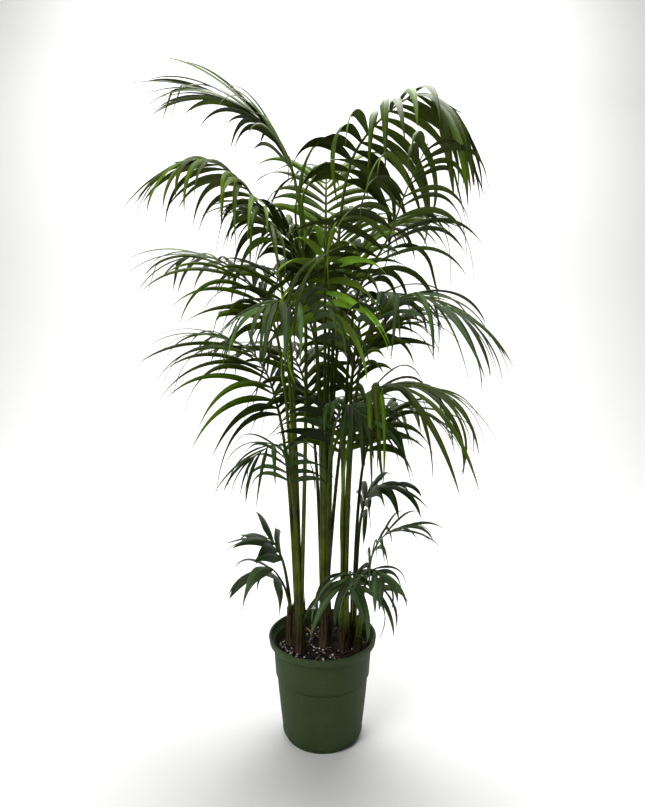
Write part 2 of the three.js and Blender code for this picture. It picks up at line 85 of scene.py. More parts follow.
FRONDS = {
    "left_top": frond("left", 334, 181, 13, ((0.005, 1.417), (0.08, 1.547), (0.205, 1.612)),
        (0.37, 0.024), (1.0, 0.7), (-5, -5), (38, 12)),
    "left_upper": frond("left", 231, 202, 13, ((0.059, 1.275), (0.135, 1.401), (0.215, 1.442), (0.28, 1.429)),
        (0.3, 0.022), (1.6, 1.1), (-8, -8), (66, 22), kinks=0.08),
    "left_middle": frond("left", 129, 158, 12, ((0.057, 1.06), (0.113, 1.164), (0.213, 1.236), (0.3, 1.252)),
        (0.35, 0.02), (1.2, 1.0), (0, 0), (66, 22)),
    "left_lower": frond("left", 180, 154, 14, ((0.052, 0.855), (0.112, 0.992), (0.22, 1.052)),
        (0.43, 0.02), (1.2, 1.0), (0, 0), (70, 22)),
    # This frond and the other low ones under the canopy wear a darker copy of the mature leaf: painted shade.
    "left_small": frond("left", 283, 235, 8, ((0.03, 0.696), (0.079, 0.797), (0.17, 0.787)),
        (0.23, 0.016), (1.4, 1.3), (4, 4), leaf="dark"),
    "right_top": frond("middle", 0, 335, 14, ((0.054, 1.412), (0.103, 1.507), (0.228, 1.582), (0.32, 1.532)),
        (0.345, 0.028), (1.9, 1.5), (12, -38), (80, 28), face=308),
    "right_tall": frond("right", 216, 305, 14, ((0.04, 1.137), (0.148, 1.266), (0.212, 1.368), (0.269, 1.444)),
        (0.43, 0.021), (1.6, 1.15), (27, 6), (74, 42), kinks=0.08),
    # The two front fronds wear a lighter, greyer copy of the mature leaf: painted sheen.
    "front_left": frond("middle", 206, 238, 10, ((0.045, 1.042), (0.12, 1.13), (0.26, 1.122)),
        (0.29, 0.022), (1.3, 1.2), (8, 8), leaf="pale"),
    "front_right": frond("right", 288, 326, 11, ((0.07, 1.077), (0.17, 1.147), (0.31, 1.102)),
        (0.3, 0.02), (1.4, 1.3), (8, 8), leaf="pale"),
    "new_middle": frond("middle", 257, 270, 5, ((0.055, 1.102), (0.11, 1.197), (0.15, 1.257)),
        (0.265, 0.028), (2.0, 0.9), (-42, 0), (74, 16), leaf="new", kinks=0.0),
    "right_middle": frond("middle", 51, 25, 13, ((0.065, 0.9), (0.112, 1.025), (0.244, 1.107)),
        (0.34, 0.023), (1.1, 1.0), (10, 10)),
    "right_lower": frond("right", 0, 338, 12, ((0.02, 0.82), (0.077, 0.926), (0.21, 0.932)),
        (0.47, 0.023), (1.6, 1.6), (6, 6), (66, 30)),
    "outer_low": frond("outer", 60, 35, 11, ((0.04, 0.752), (0.11, 0.852), (0.23, 0.842)),
        (0.3, 0.022), (1.2, 1.1), (8, 8)),
    "left_back": frond("left", 77, 118, 12, ((0.05, 1.072), (0.12, 1.202), (0.26, 1.232)),
        (0.32, 0.022), (1.1, 1.0), (10, 10)),
    "back_top": frond("middle", 103, 88, 12, ((0.05, 1.312), (0.11, 1.442), (0.24, 1.502)),
        (0.31, 0.022), (1.2, 1.0), (10, 10)),
    "back_left": frond("middle", 154, 130, 12, ((0.06, 0.872), (0.13, 0.992), (0.27, 1.022)),
        (0.32, 0.022), (1.2, 1.0), (10, 10)),
    "back_high": frond("back", 90, 70, 12, ((0.045, 1.172), (0.105, 1.312), (0.22, 1.392)),
        (0.32, 0.022), (1.2, 1.0), (10, 10)),
    "back_centre": frond("back", 200, 205, 12, ((0.035, 1.122), (0.08, 1.262), (0.18, 1.342)),
        (0.32, 0.024), (1.2, 1.0), (10, 10)),
    "back_side": frond("back", 0, 15, 12, ((0.05, 1.152), (0.115, 1.292), (0.24, 1.342)),
        (0.33, 0.024), (1.2, 1.0), (10, 10)),
    "back_fan": frond("back", 145, 150, 12, ((0.05, 1.192), (0.11, 1.322), (0.23, 1.392)),
        (0.32, 0.022), (1.2, 1.0), (10, 10)),
    "front_low": frond("middle", 309, 294, 10, ((0.04, 0.792), (0.11, 0.892), (0.22, 0.882)),
        (0.27, 0.024), (1.1, 1.1), (8, 8), leaf="dark"),
    "back_right": frond("right", 72, 62, 12, ((0.05, 1.002), (0.12, 1.132), (0.26, 1.162)),
        (0.32, 0.022), (1.1, 1.0), (10, 10)),
    "back_low": frond("right", 144, 98, 11, ((0.045, 0.752), (0.115, 0.862), (0.23, 0.872)),
        (0.3, 0.022), (1.1, 1.0), (10, 10)),
    "young_right": frond("outer", 0, 355, 5, ((0.022, 0.592), (0.045, 0.657), (0.115, 0.677)),
        (0.21, 0.034), (1.2, 1.2), (5, 5), leaf="dark"),
    "young_front": frond("outer", 240, 262, 6, ((0.045, 0.412), (0.08, 0.467), (0.122, 0.452)),
        (0.23, 0.03), (1.8, 1.8), (-5, -5), (76, 34), leaf="young", kinks=0.0),
    "young_far": frond("sprout", 0, 350, 8, ((0.025, 0.472), (0.06, 0.552), (0.12, 0.582)),
        (0.24, 0.019), (1.3, 1.2), (8, 8), leaf="young", kinks=0.0),
    "young_outer": frond("sprout", 180, 300, 6, ((0.025, 0.412), (0.055, 0.482), (0.1, 0.482)),
        (0.19, 0.024), (1.6, 1.6), (0, 0), (66, 30), leaf="young", kinks=0.0),
    "young_left": frond("shoot", 270, 196, 3, ((0.02, 0.412), (0.055, 0.457), (0.09, 0.452)),
        (0.225, 0.046), (1.6, 1.1), (0, 0), (60, 20), leaf="young", kinks=0.0),
    "young_back": frond("shoot", 90, 170, 3, ((0.02, 0.472), (0.05, 0.522), (0.085, 0.527)),
        (0.19, 0.04), (0.9, 0.7), (0, 0), (56, 20), leaf="dark", kinks=0.0),
}


# ---------------------------------------------------------------- node helpers

GROUPS = {}

class Graph:
    """Short ways to add and join the nodes of one tree."""

    def __init__(self, tree):
        self.tree = tree

    def put(self, socket, value):
        if isinstance(value, bpy.types.NodeSocket):
            self.tree.links.new(value, socket)
        elif value is not None:
            socket.default_value = value

    def node(self, kind, inputs=None, **settings):
        made = self.tree.nodes.new(kind)
        for name, value in settings.items():
            setattr(made, name, value)
        for key, value in (inputs or {}).items():
            self.put(made.inputs[key], value)
        return made

    def group(self, name, inputs):
        return self.node("ShaderNodeGroup", inputs, node_tree=GROUPS[name])

    def math(self, operation, *values):
        made = self.node("ShaderNodeMath", operation=operation)
        for socket, value in zip(made.inputs, values):
            self.put(socket, value)
        return made.outputs[0]

    def sum(self, *values):
        total = values[0]
        for value in values[1:]:
            total = self.math("ADD", total, value)
        return total

    def vector(self, operation, *values):
        made = self.node("ShaderNodeVectorMath", operation=operation)
        for socket, value in zip(made.inputs, values):
            self.put(socket, value)
        return made.outputs["Value" if operation in ("DOT_PRODUCT", "LENGTH") else "Vector"]

    def scale(self, value, factor):
        made = self.node("ShaderNodeVectorMath", {0: value, "Scale": factor}, operation="SCALE")
        return made.outputs["Vector"]

    def vsum(self, *values):
        total = values[0]
        for value in values[1:]:
            total = self.vector("ADD", total, value)
        return total

    def mix(self, factor, low, high):
        """A number between low and high."""
        made = self.node("ShaderNodeMapRange", {0: factor, 3: low, 4: high}, clamp=False)
        return made.outputs[0]

    def ramp(self, value, low, high, start=0.0, end=1.0):
        """start up to low, end from high on, and a smooth step between them."""
        made = self.node("ShaderNodeMapRange", {0: value, 1: low, 2: high, 3: start, 4: end},
                         interpolation_type="SMOOTHSTEP")
        return made.outputs[0]

    def colour(self, factor, low, high, blend="MIX"):
        made = self.node("ShaderNodeMix", {0: factor, 6: low, 7: high}, data_type="RGBA", blend_type=blend)
        return made.outputs[2]


def new_tree(name, kind, sockets):
    """A node group with the (direction, name, socket type, default) sockets given, and its Graph."""
    tree = bpy.data.node_groups.new(name, kind)
    for direction, label, socket_type, default in sockets:
        socket = tree.interface.new_socket(name=label, in_out=direction, socket_type=socket_type)
        if default is not None:
            socket.default_value = default
    graph = Graph(tree)
    entry = graph.node("NodeGroupInput")
    finish = graph.node("NodeGroupOutput")
    return tree, graph, entry.outputs, finish.inputs


def live(sockets, name):
    """The socket of that name that the node's settings have switched on."""
    return next(socket for socket in sockets if socket.name == name and socket.enabled)


def identifiers(tree):
    return {item.name: item.identifier for item in tree.interface.items_tree
            if item.item_type == "SOCKET" and item.in_out == "INPUT"}


def grown(name, source, tree, values):
    """The mesh that a Geometry Nodes tree makes from source, as an object of its own."""
    modifier = source.modifiers.new(tree.name, "NODES")
    modifier.node_group = tree
    keys = identifiers(tree)
    for label, value in values.items():
        modifier[keys[label]] = value
    evaluated = source.evaluated_get(bpy.context.evaluated_depsgraph_get())
    mesh = bpy.data.meshes.new_from_object(evaluated)
    mesh.name = name
    data = source.data
    bpy.data.objects.remove(source)
    (bpy.data.curves if isinstance(data, bpy.types.Curve) else bpy.data.meshes).remove(data)
    return show(name, mesh)


def show(name, mesh):
    piece = bpy.data.objects.new(name, mesh)
    bpy.context.scene.collection.objects.link(piece)
    return piece


def mesh_from(name, build):
    """A mesh made by build(bm)."""
    bm = bmesh.new()
    build(bm)
    mesh = bpy.data.meshes.new(name)
    bm.to_mesh(mesh)
    bm.free()
    return mesh


def shade_smooth(mesh, sharp_over=40.0):
    for polygon in mesh.polygons:
        polygon.use_smooth = True
    mesh.set_sharp_from_angle(angle=math.radians(sharp_over))


def settle_piece(piece, slot, *nodes):
    """The last words on a finished piece: its body and the CAD nodes that it stands for. The slot is not used."""
    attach(piece, BODY)
    if nodes:
        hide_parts(*nodes)


# ---------------------------------------------------------------- materials

def mottle_group():
    """Cloudy and speckled change between two colours, with a height for bump."""
    tree, g, given, out = new_tree("Mottle", "ShaderNodeTree", [
        ("INPUT", "Vector", "NodeSocketVector", None),
        ("INPUT", "First", "NodeSocketColor", None),
        ("INPUT", "Second", "NodeSocketColor", None),
        ("INPUT", "Scale", "NodeSocketFloat", 20.0),
        ("INPUT", "Contrast", "NodeSocketFloat", 0.3),
        ("OUTPUT", "Colour", "NodeSocketColor", None),
        ("OUTPUT", "Value", "NodeSocketFloat", None),
    ])
    cloud = g.node("ShaderNodeTexNoise", {"Vector": given["Vector"], "Scale": given["Scale"], "Detail": 6.0,
                                          "Roughness": 0.6})
    low = g.math("SUBTRACT", 0.5, g.math("MULTIPLY", given["Contrast"], 0.5))
    high = g.math("ADD", 0.5, g.math("MULTIPLY", given["Contrast"], 0.5))
    value = g.ramp(cloud.outputs["Fac"], low, high)
    g.put(out["Colour"], g.colour(value, given["First"], given["Second"]))
    g.put(out["Value"], value)
    return tree


def streak_group():
    """Fine lines that run along one way, used for the leaf veins. Across counts the lines and Along stretches them."""
    tree, g, given, out = new_tree("Streaks", "ShaderNodeTree", [
        ("INPUT", "Vector", "NodeSocketVector", None),
        ("INPUT", "Across", "NodeSocketFloat", 40.0),
        ("INPUT", "Along", "NodeSocketFloat", 1.0),
        ("OUTPUT", "Value", "NodeSocketFloat", None),
    ])
    parts = g.node("ShaderNodeSeparateXYZ", {0: given["Vector"]})
    stretched = g.node("ShaderNodeCombineXYZ", {
        0: g.math("MULTIPLY", parts.outputs[0], given["Along"]),
        1: g.math("MULTIPLY", parts.outputs[1], given["Across"]),
        2: g.math("MULTIPLY", parts.outputs[2], 17.0),
    })
    lines = g.node("ShaderNodeTexNoise", {"Vector": stretched.outputs[0], "Scale": 1.0, "Detail": 3.0,
                                          "Roughness": 0.55})
    g.put(out["Value"], g.ramp(lines.outputs["Fac"], 0.32, 0.68))
    return tree


def rgba(colour):
    return (*colour, 1.0)


def new_material(name, **constants):
    """A material with its Graph and its shader, whose plain numbers are set from constants."""
    material = bpy.data.materials.new(name)
    material.use_nodes = True
    graph = Graph(material.node_tree)
    shader = material.node_tree.nodes["Principled BSDF"]
    for label, value in constants.items():
        shader.inputs[label.replace("_", " ")].default_value = value
    return material, graph, shader


def bump(graph, shader, height, strength, distance):
    made = graph.node("ShaderNodeBump", {"Strength": strength, "Distance": distance, "Height": height})
    graph.put(shader.inputs["Normal"], made.outputs[0])


def leaf_material(name, top, deep, under, roughness):
    """Waxy leaf. The "leaf" attribute holds the place along and across a leaflet and its own random
    number, "face" is 1 on top and -1 beneath, and "tone" is the frond's own lightness."""
    material, g, shader = new_material(name, Specular_IOR_Level=0.13)
    leaf = g.node("ShaderNodeAttribute", attribute_name="leaf")
    parts = g.node("ShaderNodeSeparateXYZ", {0: leaf.outputs["Vector"]})
    along, across, chance = parts.outputs
    face = g.node("ShaderNodeAttribute", attribute_name="face").outputs["Fac"]
    tone = g.node("ShaderNodeAttribute", attribute_name="tone").outputs["Fac"]
    place = g.node("ShaderNodeTexCoord").outputs["Object"]
    veins = g.group("Streaks", {"Vector": leaf.outputs["Vector"], "Across": 9.0, "Along": 1.5})
    mottle = g.group("Mottle", {"Vector": place, "First": rgba(deep), "Second": rgba(top),
                                  "Scale": 14.0, "Contrast": 0.5})
    striped = g.colour(g.math("MULTIPLY", veins.outputs[0], 0.35), mottle.outputs["Colour"], rgba(top))
    rib = g.ramp(g.math("ABSOLUTE", across), 0.03, 0.12, 1.0, 0.0)
    pale_rib = tuple(min(1.0, 1.6 * c + 0.03) for c in top)
    ribbed = g.colour(g.math("MULTIPLY", rib, 0.6), striped, rgba(pale_rib))
    beneath = g.ramp(face, -0.1, 0.1, 1.0, 0.0)
    sided = g.colour(g.math("MULTIPLY", beneath, 0.75), ribbed, rgba(under))
    lightness = g.sum(0.6, g.math("MULTIPLY", g.math("POWER", chance, 2.0), 1.35), tone)
    toned = g.node("ShaderNodeHueSaturation", {"Value": lightness, "Saturation": 1.08, "Color": sided,
                                               "Hue": g.sum(0.482, g.math("MULTIPLY", chance, 0.03))})
    dry = g.math("MULTIPLY", g.ramp(along, 0.955, 0.995), g.ramp(chance, 0.45, 0.6))
    g.put(shader.inputs["Base Color"], g.colour(dry, toned.outputs[0], rgba((0.22, 0.15, 0.06))))
    g.put(shader.inputs["Roughness"], g.sum(roughness, g.math("MULTIPLY", veins.outputs[0], 0.08),
                                            g.math("MULTIPLY", beneath, 0.15)))
    bump(g, shader, g.sum(veins.outputs[0], g.math("MULTIPLY", rib, 1.5)), 0.35, 0.0004)
    return material


def stalk_material():
    """Green leaf stalk, olive low down and yellower towards the blade, with faint scurf."""
    material, g, shader = new_material("palm_stalk", Specular_IOR_Level=0.16)
    place = g.node("ShaderNodeTexCoord").outputs["Object"]
    leaf = g.node("ShaderNodeAttribute", attribute_name="leaf")
    along = g.node("ShaderNodeSeparateXYZ", {0: leaf.outputs["Vector"]}).outputs[0]
    mottle = g.group("Mottle", {"Vector": place, "First": rgba((0.014, 0.024, 0.001)),
                                  "Second": rgba((0.120, 0.150, 0.005)), "Scale": 7.0, "Contrast": 0.35})
    upper = g.colour(g.ramp(along, 0.3, 0.8), mottle.outputs["Colour"], rgba((0.060, 0.094, 0.005)))
    specks = g.group("Mottle", {"Vector": place, "First": rgba((0, 0, 0)), "Second": rgba((1, 1, 1)),
                                  "Scale": 420.0, "Contrast": 0.12})
    scurf = g.math("MULTIPLY", specks.outputs["Value"], 0.12)
    g.put(shader.inputs["Base Color"], g.colour(scurf, upper, rgba((0.05, 0.04, 0.02))))
    g.put(shader.inputs["Roughness"], g.sum(0.38, g.math("MULTIPLY", specks.outputs["Value"], 0.2)))
    bump(g, shader, specks.outputs["Value"], 0.2, 0.0003)
    return material


def stem_material():
    """Ringed stem in dry fibrous sheaths: reddish brown with grey and straw strands."""
    material, g, shader = new_material("palm_stem", Specular_IOR_Level=0.2)
    place = g.node("ShaderNodeTexCoord").outputs["Object"]
    fibres = g.node("ShaderNodeMapping", {"Vector": place, "Scale": (420.0, 420.0, 14.0)})
    strands = g.node("ShaderNodeTexNoise", {"Vector": fibres.outputs[0], "Scale": 1.0, "Detail": 4.0})
    strand = g.ramp(strands.outputs["Fac"], 0.35, 0.68)
    brown = g.group("Mottle", {"Vector": place, "First": rgba((0.022, 0.011, 0.006)),
                                 "Second": rgba((0.095, 0.052, 0.030)), "Scale": 34.0, "Contrast": 0.5})
    dried = g.colour(g.math("MULTIPLY", g.math("POWER", strand, 2.0), 0.6), brown.outputs["Colour"],
                     rgba((0.21, 0.14, 0.085)))
    green = g.node("ShaderNodeAttribute", attribute_name="green").outputs["Fac"]
    mixed = g.colour(green, dried, g.colour(strand, rgba((0.030, 0.046, 0.006)), rgba((0.075, 0.095, 0.014))))
    g.put(shader.inputs["Base Color"], mixed)
    g.put(shader.inputs["Roughness"], g.sum(0.9, g.math("MULTIPLY", green, -0.4)))
    bump(g, shader, g.sum(strand, g.math("MULTIPLY", brown.outputs["Value"], 0.6)), 0.8, 0.0012)
    return material


def pot_material():
    """Dark green moulded plastic with clouding, dust and scuffs."""
    material, g, shader = new_material("pot_plastic", Specular_IOR_Level=0.16)
    place = g.node("ShaderNodeTexCoord").outputs["Object"]
    cloud = g.group("Mottle", {"Vector": place, "First": rgba((0.032, 0.056, 0.017)),
                                 "Second": rgba((0.043, 0.070, 0.023)), "Scale": 7.0, "Contrast": 0.6})
    smudge = g.group("Mottle", {"Vector": place, "First": rgba((0, 0, 0)), "Second": rgba((1, 1, 1)),
                                  "Scale": 16.0, "Contrast": 0.25})
    grit = g.group("Mottle", {"Vector": place, "First": rgba((0, 0, 0)), "Second": rgba((1, 1, 1)),
                                "Scale": 300.0, "Contrast": 0.2})
    dust = g.math("MULTIPLY", g.math("MULTIPLY", smudge.outputs["Value"], grit.outputs["Value"]), 0.22)
    dusty = g.colour(dust, cloud.outputs["Colour"], rgba((0.13, 0.14, 0.09)))
    scratches = g.node("ShaderNodeMapping",
                       {"Vector": place, "Rotation": (0.3, 0.2, 0.6), "Scale": (60.0, 60.0, 7.0)})
    lines = g.node("ShaderNodeTexNoise", {"Vector": scratches.outputs[0], "Scale": 4.0, "Detail": 2.0})
    scratch = g.math("MULTIPLY", g.ramp(lines.outputs["Fac"], 0.72, 0.76),
                     g.ramp(smudge.outputs["Value"], 0.4, 0.9))
    g.put(shader.inputs["Base Color"],
          g.colour(g.math("MULTIPLY", scratch, 0.35), dusty, rgba((0.14, 0.17, 0.12))))
    g.put(shader.inputs["Roughness"], g.sum(0.56, g.math("MULTIPLY", smudge.outputs["Value"], 0.12),
                                            g.math("MULTIPLY", dust, 0.5)))
    bump(g, shader, g.sum(grit.outputs["Value"], g.math("MULTIPLY", cloud.outputs["Value"], 2.0),
                          g.math("MULTIPLY", scratch, -2.0)), 0.12, 0.0004)
    return material


def soil_material():
    material, g, shader = new_material("potting_soil", Specular_IOR_Level=0.15)
    place = g.node("ShaderNodeTexCoord").outputs["Object"]
    crumbs = g.group("Mottle", {"Vector": place, "First": rgba((0.0012, 0.0009, 0.0006)),
                                  "Second": rgba((0.013, 0.009, 0.006)), "Scale": 130.0, "Contrast": 0.4})
    damp = g.group("Mottle", {"Vector": place, "First": rgba((0, 0, 0)), "Second": rgba((1, 1, 1)),
                                "Scale": 25.0, "Contrast": 0.4})
    g.put(shader.inputs["Base Color"], crumbs.outputs["Colour"])
    g.put(shader.inputs["Roughness"], g.sum(0.75, g.math("MULTIPLY", damp.outputs["Value"], 0.25)))
    bump(g, shader, crumbs.outputs["Value"], 1.0, 0.003)
    return material


def litter_material(name, first, second, scale, roughness=0.85):
    """Small dry bits: their colour also changes from bit to bit by the "bit" attribute."""
    material, g, shader = new_material(name, Specular_IOR_Level=0.25)
    place = g.node("ShaderNodeTexCoord").outputs["Object"]
    bit = g.node("ShaderNodeAttribute", attribute_name="bit").outputs["Fac"]
    grain = g.group("Mottle", {"Vector": place, "First": rgba(first), "Second": rgba(second),
                                 "Scale": scale, "Contrast": 0.5})
    toned = g.node("ShaderNodeHueSaturation", {"Value": g.mix(bit, 0.55, 1.35),
                                               "Color": grain.outputs["Colour"]})
    g.put(shader.inputs["Base Color"], toned.outputs[0])
    g.put(shader.inputs["Roughness"], g.sum(roughness, g.math("MULTIPLY", grain.outputs["Value"], 0.1)))
    bump(g, shader, grain.outputs["Value"], 0.6, 0.001)
    return material


# ---------------------------------------------------------------- fronds

def catmull_rom(points, per_span=14):
    """The centripetal Catmull-Rom curve through points, as the frame's fronds follow it."""
    first = points[0] * 2 - points[1]
    last = points[-1] * 2 - points[-2]
    padded = [first, *points, last]
    line = []
    for i in range(1, len(padded) - 2):
        p0, p1, p2, p3 = padded[i - 1:i + 3]
        d0, d1, d2 = (max((b - a).length, 1e-6) ** 0.5 for a, b in ((p0, p1), (p1, p2), (p2, p3)))
        t1 = ((p1 - p0) / d0 - (p2 - p0) / (d0 + d1) + (p2 - p1) / d1) * d1
        t2 = ((p2 - p1) / d1 - (p3 - p1) / (d1 + d2) + (p3 - p2) / d2) * d1
        for k in range(per_span):
            t = k / per_span
            line.append(p1 + t1 * t + (p2 * 3 - p1 * 3 - t1 * 2 - t2) * t * t
                        + (p1 * 2 - p2 * 2 + t1 + t2) * t * t * t)
    return [*line, points[-1].copy()]


def outwards(base, heading, reach, height):
    turn = math.radians(heading)
    return Vector((base.x + reach * math.cos(turn), base.y + reach * math.sin(turn), height))


def stem_of(palm):
    """A stem's axis, top height and top radius, from the frame."""
    low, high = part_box("stem_" + palm)
    foot = 0.5 * (high.x - low.x)
    return Vector((0.5 * (low.x + high.x), 0.5 * (low.y + high.y), low.z)), high.z, foot - 0.001


def centreline(facts):
    """The frond's centreline and the share of its length at which the leaflets begin."""
    base, top, radius = stem_of(facts["palm"])
    socket = radius - SOCKET_WALL
    points = [outwards(base, facts["socket"], socket, top - SOCKET_DEPTH),
              outwards(base, facts["socket"], socket, top)]
    points += [outwards(base, facts["heading"], reach, height) for reach, height in facts["path"]]
    per_span = 14
    line = catmull_rom(points, per_span)
    lengths = [0.0]
    for a, b in zip(line, line[1:]):
        lengths.append(lengths[-1] + (b - a).length)
    return line, lengths[2 * per_span] / lengths[-1]


def curve_object(name, line):
    curve = bpy.data.curves.new(name, "CURVE")
    curve.dimensions = "3D"
    spline = curve.splines.new("POLY")
    spline.points.add(len(line) - 1)
    for point, place in zip(spline.points, line):
        point.co = (*place, 1.0)
    return show(name, curve)


LEAFLET_STEPS = (0.0, 0.025, 0.06, 0.11, 0.17, 0.24, 0.31, 0.38, 0.45, 0.52, 0.58, 0.64, 0.7, 0.76, 0.82,
                 0.88, 0.93, 0.97)


def leaflet_width(t):
    """A leaflet's width as a share of its widest: pinched at the root, long and tapering to the tip."""
    root = min(1.0, 0.2 + 0.8 * (t / 0.26) ** 0.8)
    return root * max(0.0, 1.0 - t ** 2.1) ** 0.95


def leaflet_blank():
    """One leaflet laid flat and closed, a unit long: its points hold their place along (t) and across
    (s), the width there (w) and which face they are on (face)."""
    over = (-1.0, -0.55, 0.0, 0.55, 1.0)
    beneath = (0.55, 0.0, -0.55)
    bm = bmesh.new()
    layers = {name: bm.verts.layers.float.new(name) for name in ("t", "s", "w", "face")}

    def vertex(t, s, face):
        made = bm.verts.new((t, s * 0.04 * leaflet_width(t), 0.001 * face))
        for name, value in (("t", t), ("s", s), ("w", leaflet_width(t)), ("face", face)):
            made[layers[name]] = value
        return made

    rings = []
    for t in LEAFLET_STEPS:
        upper = [vertex(t, s, 1.0 if abs(s) < 1 else 0.0) for s in over]
        lower = [vertex(t, s, -1.0) for s in beneath]
        rings.append(upper + lower)
    tip = vertex(1.0, 0.0, 0.0)
    count = len(rings[0])
    for a, b in zip(rings, rings[1:]):
        for i in range(count):
            j = (i + 1) % count
            bm.faces.new((a[j], a[i], b[i], b[j]))
    for i in range(count):
        bm.faces.new((rings[-1][(i + 1) % count], rings[-1][i], tip))
    bm.faces.new(rings[0])
    bmesh.ops.recalc_face_normals(bm, faces=bm.faces)
    edge_points = {v for ring in rings for v in (ring[0], ring[len(over) - 1])}
    edge_points.add(tip)
    for face in bm.faces:
        face.smooth = True
    for edge in bm.edges:
        edge.smooth = not all(v in edge_points for v in edge.verts)
    mesh = bpy.data.meshes.new("leaflet_blank")
    bm.to_mesh(mesh)
    bm.free()
    return show("leaflet_blank", mesh)


def frond_tree():
    """Grows a frond on its centreline: the stalk as a tube, and leaflets in pairs from the collar to
    the tip. Each leaflet is a copy of the blank, bent into place by its own random numbers."""
    tree, g, given, out = new_tree("Frond", "GeometryNodeTree", [
        ("INPUT", "Centreline", "NodeSocketGeometry", None),
        ("OUTPUT", "Frond", "NodeSocketGeometry", None),
        ("INPUT", "Blank", "NodeSocketObject", None),
        ("INPUT", "Collar", "NodeSocketFloat", 0.6),
        ("INPUT", "Pairs", "NodeSocketInt", 10),
        ("INPUT", "Length", "NodeSocketFloat", 0.3),
        ("INPUT", "Width", "NodeSocketFloat", 0.022),
        ("INPUT", "Thickness", "NodeSocketFloat", 0.0006),
        ("INPUT", "Low Spread", "NodeSocketFloat", 1.0),
        ("INPUT", "Last Spread", "NodeSocketFloat", 0.3),
        ("INPUT", "Low Droop", "NodeSocketFloat", 0.8),
        ("INPUT", "Last Droop", "NodeSocketFloat", 0.8),
        ("INPUT", "Low Lift", "NodeSocketFloat", 0.2),
        ("INPUT", "Last Lift", "NodeSocketFloat", 0.2),
        ("INPUT", "Across", "NodeSocketVector", None),
        ("INPUT", "Fold", "NodeSocketFloat", 0.3),
        ("INPUT", "Twist", "NodeSocketFloat", 0.6),
        ("INPUT", "Kinks", "NodeSocketFloat", 0.06),
        ("INPUT", "Foot Radius", "NodeSocketFloat", 0.0072),
        ("INPUT", "Blade Radius", "NodeSocketFloat", 0.0042),
        ("INPUT", "Tip Radius", "NodeSocketFloat", 0.0011),
        ("INPUT", "Tone", "NodeSocketFloat", 0.0),
        ("INPUT", "Seed", "NodeSocketInt", 1),
        ("INPUT", "Leaf", "NodeSocketMaterial", None),
        ("INPUT", "Stalk", "NodeSocketMaterial", None),
    ])

    def store(geometry, name, kind, value, domain="POINT"):
        made = g.node("GeometryNodeStoreNamedAttribute", {"Geometry": geometry, "Name": name},
                      data_type=kind, domain=domain)
        g.put(live(made.inputs, "Value"), value)
        return made.outputs["Geometry"]

    def named(name, kind="FLOAT"):
        made = g.node("GeometryNodeInputNamedAttribute", {"Name": name}, data_type=kind)
        return live(made.outputs, "Attribute")

    def chance(low, high, offset):
        seed = g.math("ADD", given["Seed"], float(offset))
        made = g.node("FunctionNodeRandomValue", data_type="FLOAT")
        g.put(made.inputs[2], low)
        g.put(made.inputs[3], high)
        g.put(made.inputs["Seed"], seed)
        return made.outputs[1]

    # the stalk: a tube that narrows from its sheathing foot to the tip
    share = g.node("GeometryNodeSplineParameter").outputs["Factor"]
    low_part = g.ramp(share, 0.0, given["Collar"], given["Foot Radius"], given["Blade Radius"])
    high_part = g.node("ShaderNodeMapRange",
                       {0: share, 1: given["Collar"], 2: 1.0, 3: 0.0, 4: 1.0}).outputs[0]
    radius = g.math("MAXIMUM", given["Tip Radius"], g.math("SUBTRACT", low_part, g.math(
        "MULTIPLY", high_part, g.math("SUBTRACT", given["Blade Radius"], given["Tip Radius"]))))
    centre = g.node("GeometryNodeSetCurveRadius", {"Curve": given["Centreline"], "Radius": radius})
    zero = g.node("ShaderNodeCombineXYZ", {0: share, 1: 0.0, 2: 0.5}).outputs[0]
    marked = store(centre.outputs[0], "leaf", "FLOAT_VECTOR", zero)
    profile = g.node("GeometryNodeCurvePrimitiveCircle", {"Resolution": 12, "Radius": 1.0}, mode="RADIUS")
    tube = g.node("GeometryNodeCurveToMesh", {"Curve": marked, "Profile Curve": profile.outputs["Curve"],
                                              "Fill Caps": True})
    if "Scale" in tube.inputs:
        g.put(tube.inputs["Scale"], g.node("GeometryNodeInputRadius").outputs[0])
    smooth = g.node("GeometryNodeSetShadeSmooth", {"Geometry": tube.outputs[0], "Shade Smooth": True})
    stalk = store(smooth.outputs[0], "blade", "FLOAT", 0.0)

    # where the leaflets leave it, in pairs
    part = g.node("GeometryNodeTrimCurve", {"Curve": given["Centreline"]}, mode="FACTOR")
    g.put(part.inputs[2], given["Collar"])
    g.put(part.inputs[3], 0.985)
    sampled = g.node("GeometryNodeCurveToPoints",
                     {"Curve": part.outputs[0], "Count": given["Pairs"]}, mode="COUNT")
    index = g.node("GeometryNodeInputIndex").outputs[0]
    along = g.math("DIVIDE", index, g.math("SUBTRACT", given["Pairs"], 1.0))
    spots = store(sampled.outputs["Points"], "along", "FLOAT", along)
    spots = store(spots, "tangent", "FLOAT_VECTOR", sampled.outputs["Tangent"])
    doubled = g.node("GeometryNodeDuplicateElements", {"Geometry": spots, "Amount": 2}, domain="POINT")
    side = g.math("SUBTRACT", 1.0, g.math("MULTIPLY", doubled.outputs["Duplicate Index"], 2.0))
    points = store(doubled.outputs["Geometry"], "side", "FLOAT", side)

